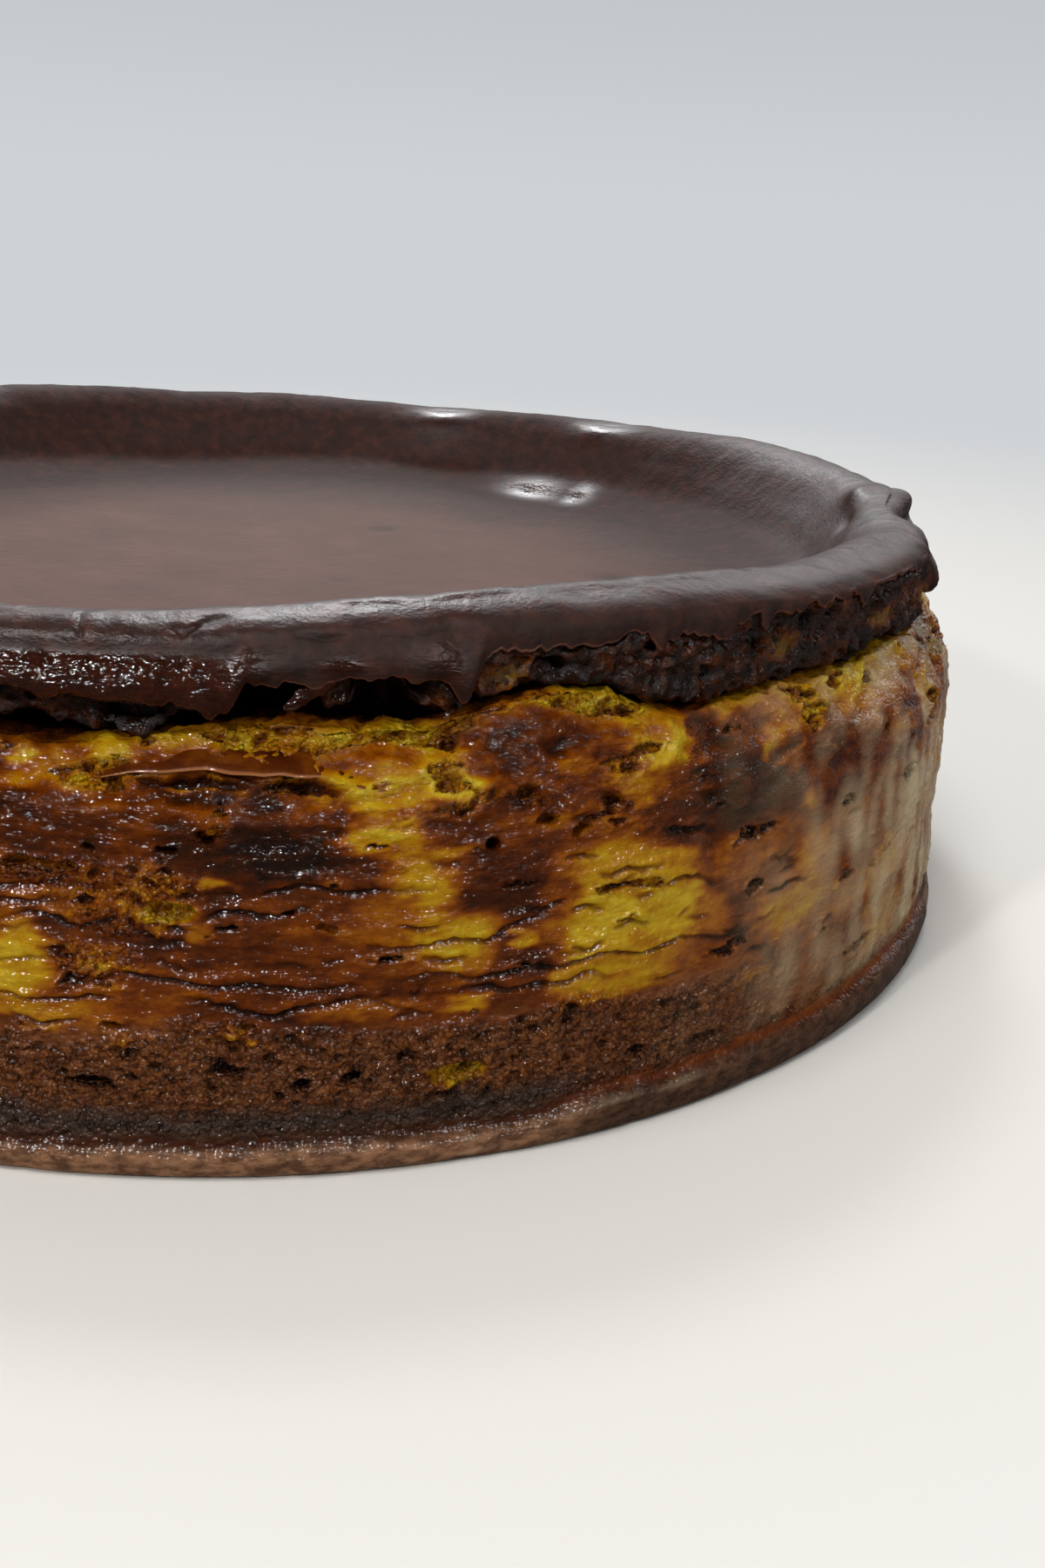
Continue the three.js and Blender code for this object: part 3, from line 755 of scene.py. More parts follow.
# Olive and red-brown crumb glimpsed there: angle, height, half-width and half-height in mm, tone, and painted
# shade.
RIM_PATCHES = [
    (-66.9, 37.0, 2.4, 0.9, 0.15, 0.74), (-71.2, 34.6, 1.0, 1.0, 0.35, 0.5),
    (-45.4, 36.6, 2.2, 1.0, 0.12, 0.80), (-32.0, 36.4, 3.4, 0.8, 0.12, 0.76),
    (-93.2, 34.0, 2.4, 1.4, 0.80, 0.3), (-54.0, 38.0, 1.8, 0.7, 0.70, 0.3),
    (-60.0, 37.8, 2.4, 1.0, 0.74, 0.5), (-38.5, 37.6, 2.6, 1.2, 0.72, 0.5),
    (-20.0, 36.2, 5.0, 0.9, 0.14, 0.74), (-81.9, 36.8, 0.5, 0.9, 0.50, 0.4),
    (-28.0, 37.6, 2.6, 1.0, 0.66, 0.4), (-50.0, 36.4, 2.0, 0.8, 0.72, 0.6),
]
RIM_CREASES = [
    [(-91.7, 40.9), (-91.2, 40.3), (-91.0, 39.6)], [(-85.4, 38.4), (-84.7, 37.9), (-83.8, 37.9)],
    [(-86.4, 40.6), (-85.4, 40.4), (-84.4, 40.9), (-83, 41.0)],
    [(-93.4, 38.8), (-92.8, 38.2), (-92.5, 37.6)], [(-79.5, 40.5), (-77.8, 40.2), (-76.4, 40.4)],
    [(-74.6, 40.2), (-73.0, 39.9), (-71.6, 40.4)],
]
# Faint darker spots on the sunken top: place in mm, radius, strength.
TOP_SPOTS = [
    (-29, 41, 2.6, 1.0), (10, 16.7, 2.0, 0.9), (8.6, -12.3, 1.7, 0.6), (38, -4.6, 2.3, 0.8),
    (-11, -22, 2.8, 0.5), (22, 26, 2.2, 0.4), (-8, 38, 2.2, 0.5), (-41, -12, 2.0, 0.5), (-20, 2, 2.0, 0.4),
]
# Glossy spots where the slope's foot or crest turns up: angle, mm from the middle, half-length in mm, tilt.
WET_SPOTS = [
    (59, 54.4, 5.0, 0.27), (51, 54.8, 2.4, 0.22), (77, 64.6, 4.0, -0.42), (54, 64.8, 4.5, -0.42),
    (205, 54.5, 5.0, 0.24), (140, 65.0, 5.0, 0.0),
]
# Knobs and dents of the rim's edge: angle, height, half-width in degrees, half-height and rise in mm.
RIM_KNOBS = [(2, 40.6, 3.0, 0.9, 1.0), (-4, 39.0, 3.0, 0.8, -0.8), (-22, 37.6, 4.0, 1.0, 0.5)]
CALM_RIM = (-88, -80, -20, 0)  # sector where the rim's skin is less wet, as for the wall's sectors
EDGE_ROW = 8.0  # station where the torn crumb gives way to the rim's skin
CREST_ROW = 15.0  # and where the crest is
SLOPE_END = 107  # row of the grid where the rim's pieces end and the sunken top begins


def form_rim():
    """The grid of the rim and the top, and what its material reads at each point."""
    r, z, row = rim_line(DEG)
    shape = r.shape
    nr, nz = outward(r, z)
    p = points_on(r, z)
    deg, z, radius = np.repeat(DEG, shape[1]), z.reshape(-1), r.reshape(-1)
    row = np.tile(row, shape[0])
    crest, edge = np.repeat(crest_height(DEG), shape[1]), np.repeat(even_edge(DEG), shape[1])
    whole = step(2.2, 0.9, np.repeat(tear(DEG, 9.0), shape[1]))
    fine = np.stack([noise(p, 1.4, 511) * 0.35, noise(p, 1.6, 512) * 0.35], -1)

    skin = step(EDGE_ROW - 0.3, EDGE_ROW + 1.0, row)
    crumb = 1 - skin
    behind = step(EDGE_ROW - 0.3, EDGE_ROW - 1.2, row)
    face = skin * step(CREST_ROW + 0.6, CREST_ROW - 1.2, row)
    top = step(CREST_ROW - 1.0, CREST_ROW + 0.4, row)
    inside = step(0.0, 2.5, row)

    # Torn crumb.
    pit, own = bubbles(p + 0.3 * noise(p, 0.9, 521)[:, None], (1.5, 1.5, 1.2), 522)
    pits = step(0.5, 0.2, pit) * step(0.3, 0.6, own)
    rise = behind * inside * (0.34 * noise(p, (3.4, 3.4, 2.4), 523) + 0.44 * noise(p, 1.3, 524)
                             + 0.30 * noise(p, 0.7, 525) - 0.8 * pits * own)
    # Painted shade over the torn crumb under the rim, heavier where the whole rim overhangs it and in the
    # pits.
    depth = crumb * np.clip(0.42 + 0.4 * whole + 0.6 * pits * own - 0.6 * noise(p, 1.3, 524), 0, 1)
    tone = 0.80 + 0.16 * noise(p, (6, 6, 3), 526) + 0.20 * noise(p, 1.2, 527)
    for near, weight, _, (target, shade) in patches(deg, z, fine, RIM_PATCHES, 0.7):
        tone[near] = mix(tone[near], target, 0.85 * weight)
        depth[near] = mix(depth[near], shade, 0.85 * weight)
    for near, weight, _, (hollow,) in patches(deg, z, fine, RIM_HOLLOWS, 0.3):
        rise[near] -= hollow * weight * behind[near]
        depth[near] = np.maximum(depth[near], weight * behind[near])

    # The rim's skin: leathery, blistered where it is whole, with a rolled lower edge.
    up = np.clip((z - edge) / np.maximum(crest - edge, 1), 0, 1)
    roll = 0.50 * np.exp(-((up - 0.14) / 0.22) ** 2) - 0.25 * np.exp(-((up - 0.62) / 0.16) ** 2)
    rise += face * whole * roll
    rise += face * (0.20 * noise(p, (5, 5, 3), 531) + 0.06 * noise(p, (2.0, 2.0, 1.0), 532))
    blister = np.maximum(whole, 0.2) * face * step(0.7, 0.4, up)
    rise += blister * (0.05 * noise(p, (1.5, 1.5, 0.7), 533) + 0.08 * noise(p, (0.95, 0.95, 0.48), 535))
    dimples = 0.04 * step(0.25, 0.6, noise(p, (1.2, 1.2, 0.5), 537))
    rise += blister * (0.03 * noise(p, (0.55, 0.55, 0.3), 536) - dimples)
    groove, fold = crease_field(deg, z, fine * 0.5, RIM_CREASES)
    rise += face * (0.1 * fold - 0.22 * groove)
    # Painted shade in the rim's creases.
    depth = np.maximum(depth, 0.5 * groove * face)

    for at, height, half_angle, half_height, knob in RIM_KNOBS:
        away = -(between(at, deg) / half_angle) ** 2 - ((z - height) / half_height) ** 2
        rise += knob * skin * np.exp(away)

    # The crest, the slope and the sunken middle.
    near_rim = step(48, 66, radius)
    rise += top * near_rim * (0.16 * noise(p, (7, 7, 7), 541) + 0.05 * (0.3 - 2 * np.abs(noise(p, 2.6, 542))))
    rise += top * (0.10 * noise(p, 9, 543) + 0.035 * noise(p, 3.2, 544) + 0.012 * noise(p, 1.1, 545))
    off_centre = np.hypot(p[:, 0] + 3, p[:, 1] + 13)
    pale = step(62, 32, off_centre + 3.0 * cloud(p, 14, 551, 3)) * top
    spots = sum(strength * np.exp(-(((p[:, 0] - x) ** 2 + (p[:, 1] - y) ** 2) / size ** 2))
                for x, y, size, strength in TOP_SPOTS)
    spots = np.clip(spots * (1 + 0.6 * noise(p, 1.6, 552)), 0, 1) * top
    rise -= 0.10 * spots
    beads = step(-0.12, 0.16, noise(p, (1.1, 1.1, 0.5), 538))
    shoulder = face * whole * np.exp(-((up - 0.78) / 0.13) ** 2)
    calm = sector(deg, *CALM_RIM)
    wet = (blister * (0.3 + 0.7 * whole) + 0.3 * shoulder) * (1 - 0.6 * calm)
    wet = wet + 0.06 * face + 0.25 * crumb * beads
    gleam = face * np.exp(-(between(-76.8, deg) / 1.6) ** 2 - ((z - 38.3) / 0.7) ** 2)
    wet = np.clip(np.maximum(wet, 0.8 * gleam), 0, 1)
    matt = top * np.maximum(step(62, 56, radius), step(0.3, -0.3, np.cos(np.radians(between(-45, deg)))))
    sheen = step(CREST_ROW - 5.0, CREST_ROW - 1.5, row) * mix(0.34, 1.0, step(54, 62, radius))
    sheen *= mix(1.0, 0.55 + 0.45 * np.cos(np.radians(between(-45, deg))), step(52, 60, radius))
    gloss = np.zeros_like(z)
    for at, from_middle, long, tilt in WET_SPOTS:
        angle = np.radians(at)
        away = p[:, 0] * math.cos(angle) + p[:, 1] * math.sin(angle) - from_middle
        aside = p[:, 1] * math.cos(angle) - p[:, 0] * math.sin(angle)
        spot = np.exp(-(away / 3.2) ** 2 - (aside / long) ** 2) * top
        gloss = np.maximum(gloss, spot)
        rise += tilt * away * np.exp(-(away / 3.0) ** 2 - (aside / (long * 1.3)) ** 2) * top

    p = p + rise[:, None] * offsets(deg, nr.reshape(-1), nz.reshape(-1))
    reads = {"tone": np.clip(tone, 0, 1), "skin": skin, "depth": np.clip(depth, 0, 1), "wet": wet,
             "pale": np.clip(pale, 0, 1), "spots": spots, "sheen": sheen, "gloss": gloss, "matt": matt}
    return p.reshape(*shape, 3), reads


# ---------------------------------------------------------------- pieces cut from the grids

def facing(points):
    """Unit normals of a whole grid (columns, rows, 3), so that pieces that share an edge shade alike."""
    around = np.roll(points, -1, 0) - np.roll(points, 1, 0)
    along = np.gradient(points, axis=1)
    n = np.cross(around, along)
    length = np.linalg.norm(n, axis=-1, keepdims=True)
    n = n / np.maximum(length, 1e-12)
    flat = (length[..., 0] < 1e-9)
    n[flat] = (0, 0, 1)
    return n


def placed_at(r, deg, z):
    """A radius, an angle and a height as a point in metres."""
    return [c * MM for c in (r * math.cos(math.radians(deg)), r * math.sin(math.radians(deg)), z)]


def mesh_of(bm, name):
    """A mesh from a working copy, shaded smooth."""
    mesh = bpy.data.meshes.new(name)
    bm.to_mesh(mesh)
    bm.free()
    mesh.polygons.foreach_set("use_smooth", np.ones(len(mesh.polygons), bool))
    return mesh


def cut(name, points, reads, columns, rows, material):
    """A piece from a range of a grid's columns (past the last one it goes round again) and rows."""
    total = len(points)
    pick = np.arange(columns[0], columns[1] + 1) % total
    wide, high = len(pick) - 1, rows[1] - rows[0]
    span = slice(rows[0], rows[1] + 1)
    bm = bmesh.new()
    bmesh.ops.create_grid(bm, x_segments=wide, y_segments=high, size=0.5)
    mesh = mesh_of(bm, name)

    flat = np.zeros(len(mesh.vertices) * 3)
    mesh.vertices.foreach_get("co", flat)
    spot = flat.reshape(-1, 3)
    i = np.rint((spot[:, 0] + 0.5) * wide).astype(int)
    j = np.rint((spot[:, 1] + 0.5) * high).astype(int)
    mesh.vertices.foreach_set("co", (points[pick][:, span][i, j] * MM).astype(np.float32).ravel())
    shaped = {key: value.reshape(points.shape[:2])[pick][:, span][i, j] for key, value in reads.items()}
    for key, value in shaped.items():
        mesh.attributes.new(key, "FLOAT", "POINT").data.foreach_set("value", value.astype(np.float32))
    normals = facing(points)[pick][:, span][i, j].astype(np.float32)
    mesh.attributes.new("facing", "FLOAT_VECTOR", "POINT").data.foreach_set("vector", normals.ravel())

    bm = bmesh.new()
    bm.from_mesh(mesh)
    bmesh.ops.remove_doubles(bm, verts=bm.verts, dist=1e-7)
    bm.faces.ensure_lookup_table()
    layer = bm.verts.layers.float_vector["facing"]
    agree = sum(f.normal.dot(f.verts[0][layer]) for f in list(bm.faces)[::97])
    if agree < 0:
        bmesh.ops.reverse_faces(bm, faces=bm.faces)
    bm.to_mesh(mesh)
    bm.free()
    mesh.polygons.foreach_set("use_smooth", np.ones(len(mesh.polygons), bool))
    kept = np.zeros(len(mesh.vertices) * 3, np.float32)
    mesh.attributes["facing"].data.foreach_get("vector", kept)
    mesh.normals_split_custom_set_from_vertices(kept.reshape(-1, 3).tolist())
    mesh.attributes.remove(mesh.attributes["facing"])
    return place(name, mesh, material)


# Thin curls of skin that stand off the wall: angle and height along the free edge, and how wide each grows.
SKIN_CURLS = {
    "skin_curl": ([(-89.9, 30.5), (-88, 31.0), (-86, 31.25), (-84, 31.5), (-82, 31.25), (-80, 31.2),
                   (-78, 31.0), (-76.4, 30.3), (-74.8, 29.8)], 1.5),
}


def curl(name, edge, width, material):
    """A ribbon of skin, rooted in the wall along its upper side, that curls out to its free edge below."""
    LONG, TALL = 90, 8
    angles, heights = np.array(edge).T
    bm = bmesh.new()
    bmesh.ops.create_grid(bm, x_segments=LONG, y_segments=TALL, size=0.5)
    free = bm.verts.layers.float.new("free")
    for v in bm.verts:
        # free marks the edge that gets a painted highlight.
        v[free] = max(0.0, 0.5 - v.co.y) ** 22
        along, up = v.co.x + 0.5, v.co.y + 0.5
        deg = mix(angles[0], angles[-1], along)
        wide = width * math.sin(math.pi * along) ** 0.7 * (0.85 + 0.15 * float(ripple(deg, 260, 7)))
        z = float(np.interp(deg, angles, heights)) + wide * up + 0.07 * float(ripple(deg, 400, 8))
        out = 0.05 + 0.95 * wide / width * (1 - up) ** 1.5 - 0.5 * up ** 3
        r = float(wall_radius(np.array(deg), np.array(z))) + out
        v.co = placed_at(r, deg, z)
    bmesh.ops.remove_doubles(bm, verts=bm.verts, dist=2e-6)
    bmesh.ops.recalc_face_normals(bm, faces=bm.faces)
    bmesh.ops.solidify(bm, geom=list(bm.faces), thickness=0.11 * MM)
    return place(name, mesh_of(bm, name), material)


# A scrap of the rim's skin over the crack: its root and tip as (angle, height), and its width in mm.
RIM_SCRAP = ((-77.4, 37.5), (-79.9, 35.1), 2.3)


def flap(name, root, tip, width, material):
    """A scrap of the rim's skin that hangs over the crack, widest at its root."""
    bm = bmesh.new()
    bmesh.ops.create_grid(bm, x_segments=24, y_segments=12, size=0.5)
    skin, wet = bm.verts.layers.float.new("skin"), bm.verts.layers.float.new("wet")
    across = LIP_RADIUS * math.pi / 180
    run = Vector(((tip[0] - root[0]) * across, tip[1] - root[1]))
    side = Vector((-run.y, run.x)).normalized()
    for v in bm.verts:
        v[skin], v[wet] = 1.0, 1.0
        down, aside = v.co.x + 0.5, v.co.y
        wide = width * (1 - 0.72 * down) * (1 + 0.2 * float(ripple(360 * down, 9, 3)))
        spot = run * down + side * aside * wide
        deg = root[0] + spot.x / across
        crinkle = 0.09 * float(ripple(720 * down + 200 * aside, 9, 5))
        r = LIP_RADIUS - 0.6 + 0.5 * down - 0.5 * (2 * aside) ** 2 * wide / width + crinkle
        v.co = placed_at(r, deg, root[1] + spot.y)
    bmesh.ops.recalc_face_normals(bm, faces=bm.faces)
    bmesh.ops.solidify(bm, geom=list(bm.faces), thickness=0.2 * MM)
    return place(name, mesh_of(bm, name), material)


def place(name, mesh, material):
    mesh.materials.append(material)
    piece = bpy.data.objects.new(name, mesh)
    bpy.context.collection.objects.link(piece)
    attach(piece, BODY)
    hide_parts(NODE)
    return piece


# ---------------------------------------------------------------- materials

def joined(tree, socket, value):
    """Links another node's output to a socket, or gives the socket a plain value."""
    if isinstance(value, bpy.types.NodeSocket):
        tree.links.new(value, socket)
    else:
        socket.default_value = value


def linked(tree, kind, inputs=None, **settings):
    """A node with its settings made and its inputs set or linked."""
    node = tree.nodes.new(kind)
    for key, value in settings.items():
        setattr(node, key, value)
    for key, value in (inputs or {}).items():
        joined(tree, node.inputs[key], value)
    return node


def maths(tree, operation, a, b=0.0, clamp=False):
    return linked(tree, "ShaderNodeMath", {0: a, 1: b}, operation=operation, use_clamp=clamp).outputs[0]


def between_values(tree, value, low, high, new_low=0.0, new_high=1.0):
    inputs = {"Value": value, "From Min": low, "From Max": high, "To Min": new_low, "To Max": new_high}
    return linked(tree, "ShaderNodeMapRange", inputs, interpolation_type="SMOOTHSTEP").outputs[0]


def blended(tree, factor, a, b, mode="MIX"):
    node = linked(tree, "ShaderNodeMix", {0: factor}, data_type="RGBA", blend_type=mode)
    joined(tree, node.inputs[6], a)
    joined(tree, node.inputs[7], b)
    return node.outputs[2]


def blended_value(tree, factor, a, b):
    return linked(tree, "ShaderNodeMix", {0: factor, 2: a, 3: b}, data_type="FLOAT").outputs[0]


def plus_minus(tree, value, noise_value, amount):
    """The value moved by noise around its middle."""
    moved = maths(tree, "SUBTRACT", noise_value, 0.5)
    return maths(tree, "ADD", value, maths(tree, "MULTIPLY", moved, amount))


def ramp(tree, value, stops):
    """Colours (linear red, green, blue) along a value from 0 to 1."""
    node = linked(tree, "ShaderNodeValToRGB", {"Fac": value})
    band = node.color_ramp
    band.elements[0].position, band.elements[1].position = stops[0][0], stops[-1][0]
    for at, _ in stops[1:-1]:
        band.elements.new(at)
    for element, (_, colour) in zip(band.elements, stops):
        element.color = (*colour, 1)
    return node.outputs[0]


def read(tree, name):
    return linked(tree, "ShaderNodeAttribute", attribute_name=name).outputs["Fac"]


def effect(name, takes, gives, build):
    """A node group that is built once. `takes` names its inputs with usual values, `gives` its outputs."""
    group = bpy.data.node_groups.new(name, "ShaderNodeTree")
    for key, value in takes.items():
        kind = "NodeSocketVector" if isinstance(value, tuple) else "NodeSocketFloat"
        group.interface.new_socket(name=key, in_out="INPUT", socket_type=kind).default_value = value
    for key, kind in gives.items():
        group.interface.new_socket(name=key, in_out="OUTPUT", socket_type=kind)
    given = group.nodes.new("NodeGroupInput").outputs
    end = group.nodes.new("NodeGroupOutput")
    for key, value in build(group, given).items():
        group.links.new(value, end.inputs[key])
    return group


def placed(tree, name, inputs):
    """One use of a node group, with its own values."""
    node = tree.nodes.new("ShaderNodeGroup")
    node.node_tree = bpy.data.node_groups[name]
    for key, value in inputs.items():
        joined(tree, node.inputs[key], value)
    return node.outputs


def in_waves(group, wave):
    """Place on the piece, counted in waves that are so many mm long each way."""
    where = linked(group, "ShaderNodeTexCoord").outputs["Object"]
    metres = linked(group, "ShaderNodeVectorMath", {0: wave, "Scale": MM}, operation="SCALE").outputs[0]
    return linked(group, "ShaderNodeVectorMath", {0: where, 1: metres}, operation="DIVIDE").outputs[0]


def grain_nodes(group, given):
    inputs = {"Vector": in_waves(group, given["Wave"]), "Scale": 1.0, "Detail": given["Detail"],
              "Roughness": given["Roughness"]}
    return {"Value": linked(group, "ShaderNodeTexNoise", inputs).outputs[0]}


def granule_nodes(group, given):
    inputs = {"Vector": in_waves(group, given["Wave"]), "Scale": 1.0}
    distance = linked(group, "ShaderNodeTexVoronoi", inputs, feature="F1").outputs["Distance"]
    bead = maths(group, "SUBTRACT", 1.0, maths(group, "POWER", maths(group, "MULTIPLY", distance, 1.3), 2.0))
    return {"Distance": distance, "Bead": maths(group, "MAXIMUM", bead, 0.0)}


def browning_nodes(group, given):
    """Baked cheese from bare yellow crumb through amber skin to black, mottled and speckled."""
    mottle = grain(group, 1.1, 4.0, 0.62, (1.4, 1.4, 0.7))
    speckle = grain(group, 0.36, 2.0, 0.5)
    tone = plus_minus(group, given["Tone"], mottle, given["Mottle"])
    tone = plus_minus(group, tone, speckle, given["Speckle"])
    return {"Color": ramp(group, tone, BROWNING), "Mottle": mottle}


def grain(tree, size, detail=3.0, roughness=0.55, stretch=(1, 1, 1)):
    """Noise with waves about `size` mm long, from 0 to 1."""
    wave = tuple(size * s for s in stretch)
    return placed(tree, "grain", {"Wave": wave, "Detail": detail, "Roughness": roughness})["Value"]


def granules(tree, size):
    """Round granules about `size` mm apart: distance from each one's middle, and its rounded height."""
    return placed(tree, "granules", {"Wave": (size, size, size)})


def make_effects():
    value, colour = "NodeSocketFloat", "NodeSocketColor"
    effect("grain", {"Wave": (1.0, 1.0, 1.0), "Detail": 3.0, "Roughness": 0.55}, {"Value": value},
           grain_nodes)
    effect("granules", {"Wave": (1.0, 1.0, 1.0)}, {"Distance": value, "Bead": value}, granule_nodes)
    effect("browning", {"Tone": 0.5, "Mottle": 0.3, "Speckle": 0.2}, {"Color": colour, "Mottle": value},
           browning_nodes)


def finish_surface(name, build):
    """A Principled material whose parts come from build(tree)."""
    material = bpy.data.materials.new(name)
    material.use_nodes = True
    tree = material.node_tree
    surface = next(n for n in tree.nodes if n.type == "BSDF_PRINCIPLED")
    for key, value in build(tree).items():
        joined(tree, surface.inputs[key], value)
    return material


SKIN_IOR = 1.25
# Colours as linear red, green and blue. A list gives them along a value from 0 to 1.
BROWNING = [(0.0, (0.50, 0.345, 0.014)), (0.13, (0.42, 0.225, 0.003)), (0.27, (0.34, 0.135, 0.0015)),
            (0.42, (0.25, 0.068, 0.001)), (0.58, (0.140, 0.028, 0.0008)), (0.74, (0.062, 0.0115, 0.0008)),
            (0.88, (0.024, 0.0058, 0.001)), (1.0, (0.009, 0.0035, 0.002))]
RUST = [(0.3, (0.045, 0.013, 0.004)), (0.5, (0.115, 0.036, 0.010)), (0.72, (0.240, 0.088, 0.024))]
ASH = [(0.3, (0.018, 0.012, 0.010)), (0.5, (0.046, 0.032, 0.026)), (0.72, (0.085, 0.062, 0.048))]
# Beige of the painted sheen and of the painted highlight on the foot's top edge.
BEIGE_SHEEN = (0.50, 0.39, 0.235, 1)
FOOT_BROWN, FOOT_DARK = (0.34, 0.175, 0.092, 1), (0.115, 0.054, 0.028, 1)
# Painted shade colours: in creases, pits and hollows, in the crumb's pores and in the crack.
PAINTED_SHADE = (0.012, 0.004, 0.002, 1)
PORE_SHADOW_BLACK, CRACK_SHADOW_BLACK = (0.005, 0.002, 0.0015, 1), (0.006, 0.003, 0.002, 1)
SPOT_BROWN = (0.030, 0.014, 0.010, 1)
# The curl's free edge colour is a painted highlight.
TORN_EDGE, CURL_EDGE_HIGHLIGHT = (0.18, 0.044, 0.013, 1), (0.34, 0.13, 0.045, 1)
LEATHER = [(0.3, (0.013, 0.0031, 0.0014)), (0.5, (0.026, 0.0060, 0.0024)), (0.7, (0.054, 0.0118, 0.0042))]
CURL_BROWN = [(0.3, (0.030, 0.0052, 0.0008)), (0.5, (0.070, 0.013, 0.0012)), (0.72, (0.14, 0.036, 0.002))]
CHOCOLATE = [(0.3, (0.079, 0.036, 0.025)), (0.7, (0.114, 0.053, 0.038))]


def bumped(tree, layers):
    """Normal from layers of (height, distance in mm)."""
    normal = None
    for height, distance in layers:
        inputs = {"Height": height, "Distance": distance * MM, "Strength": 1.0}
        if normal is not None:
            inputs["Normal"] = normal
        normal = linked(tree, "ShaderNodeBump", inputs).outputs[0]
    return normal


def wall_surface(tree):
    porous, depth, wet = read(tree, "porous"), read(tree, "depth"), read(tree, "wet")
    coarse, small = granules(tree, 0.7), granules(tree, 0.42)
    # Painted shade between the granules of the crumb.
    granule_gap_shade = maths(tree, "MULTIPLY", between_values(tree, coarse["Distance"], 0.35, 0.75), porous)
    granule_gap_shade = maths(tree, "MULTIPLY", granule_gap_shade, between_values(tree, wet, 0, 1, 0.16, 0.04))
    tone = maths(tree, "ADD", read(tree, "tone"), granule_gap_shade)
    browned = placed(tree, "browning", {
        "Tone": tone, "Mottle": between_values(tree, porous, 0, 1, 0.34, 0.45),
        "Speckle": between_values(tree, porous, 0, 1, 0.12, 0.5)})
    colour, mottle = browned["Color"], browned["Mottle"]
    rusty = ramp(tree, grain(tree, 0.55, 3.0, 0.62, (1.5, 1.5, 0.8)), RUST)
    colour = blended(tree, maths(tree, "MULTIPLY", read(tree, "rust"), 0.8), colour, rusty)
    ashen = ramp(tree, grain(tree, 0.8, 3.0, 0.62, (1.5, 1.5, 0.8)), ASH)
    colour = blended(tree, maths(tree, "MULTIPLY", read(tree, "ash"), 0.85), colour, ashen)
    foot = blended(tree, between_values(tree, mottle, 0.35, 0.65), FOOT_BROWN, FOOT_DARK)
    colour = blended(tree, maths(tree, "MULTIPLY", read(tree, "foot"), 0.8), colour, foot)
    # Painted sheen and painted highlight, where the pale attribute says.
    colour = blended(tree, read(tree, "pale"), colour, BEIGE_SHEEN)
    # Painted shade, where the depth attribute says.
    colour = blended(tree, maths(tree, "MULTIPLY", depth, 0.9), colour, PAINTED_SHADE)
    rough = plus_minus(tree, between_values(tree, wet, 0, 1, 0.26, 0.11), mottle, 0.06)
    rough = blended_value(tree, maths(tree, "MULTIPLY", porous, 0.5), rough, 0.16)
    wrinkles = grain(tree, 0.9, 3.0, 0.6, (3.2, 3.2, 0.8))
    crumbly = maths(tree, "MULTIPLY", coarse["Bead"], between_values(tree, porous, 0, 1, 0.10, 1.0))
    beads = maths(tree, "MULTIPLY", small["Bead"], between_values(tree, porous, 0, 1, 0.20, 1.0))
    crinkles = maths(tree, "MULTIPLY", grain(tree, 0.42, 2.0, 0.6, (2.0, 2.0, 0.8)),
                     between_values(tree, wet, 0.2, 1, 0.25, 1.0))
    normal = bumped(tree, [(wrinkles, 0.25), (crinkles, 0.26), (crumbly, 0.20), (beads, 0.29)])
    return {"Base Color": colour, "Roughness": rough, "IOR": SKIN_IOR, "Normal": normal}


def rim_surface(tree):
    skin, depth, pale = read(tree, "skin"), read(tree, "depth"), read(tree, "pale")
    wet, sheen = read(tree, "wet"), read(tree, "sheen")
    browned = placed(tree, "browning", {"Tone": read(tree, "tone"), "Mottle": 0.4, "Speckle": 0.3})
    mottle = browned["Mottle"]
    # Painted shade in the crumb's pores.
    pore_shade = between_values(tree, granules(tree, 0.9)["Distance"], 0.42, 0.2, 0.0, 0.8)
    crumb = blended(tree, pore_shade, browned["Color"], PORE_SHADOW_BLACK)
    top = blended(tree, pale, ramp(tree, grain(tree, 1.8, 5.0, 0.68), LEATHER),
                  ramp(tree, grain(tree, 9.0, 5.0, 0.55), CHOCOLATE))
    top = blended(tree, maths(tree, "MULTIPLY", read(tree, "spots"), 0.8), top, SPOT_BROWN)
    colour = blended(tree, skin, crumb, top)
    brink = maths(tree, "MULTIPLY", maths(tree, "MULTIPLY", skin, maths(tree, "SUBTRACT", 1.0, skin)), 3.2)
    colour = blended(tree, brink, colour, TORN_EDGE)
    # Painted shade in the crack and under the rim, where the depth attribute says.
    colour = blended(tree, maths(tree, "MULTIPLY", depth, 0.9), colour, CRACK_SHADOW_BLACK)
    rough = blended_value(tree, sheen, between_values(tree, wet, 0, 0.85, 0.78, 0.11), 0.36)
    rough = blended_value(tree, read(tree, "matt"), rough, 0.72)
    rough = blended_value(tree, read(tree, "gloss"), rough, 0.2)
    rough = blended_value(tree, skin, between_values(tree, wet, 0, 0.25, 0.72, 0.13), rough)
    rough = plus_minus(tree, rough, mottle, 0.06)
    leathery = grain(tree, 0.5, 2.0, 0.6, (2.2, 2.2, 1.0))
    leathery = maths(tree, "MULTIPLY", leathery, between_values(tree, wet, 0, 1, 0.12, 1.0))
    bits = maths(tree, "MULTIPLY", grain(tree, 0.6, 3.0, 0.6), between_values(tree, skin, 0, 1, 1.0, 0.06))
    normal = bumped(tree, [(grain(tree, 1.4, 4.0, 0.6), 0.08), (leathery, 0.36), (bits, 0.5),
                           (grain(tree, 0.26, 2.0, 0.6, (1.8, 1.8, 0.8)), 0.05)])
    return {"Base Color": colour, "Roughness": rough, "IOR": SKIN_IOR, "Normal": normal}


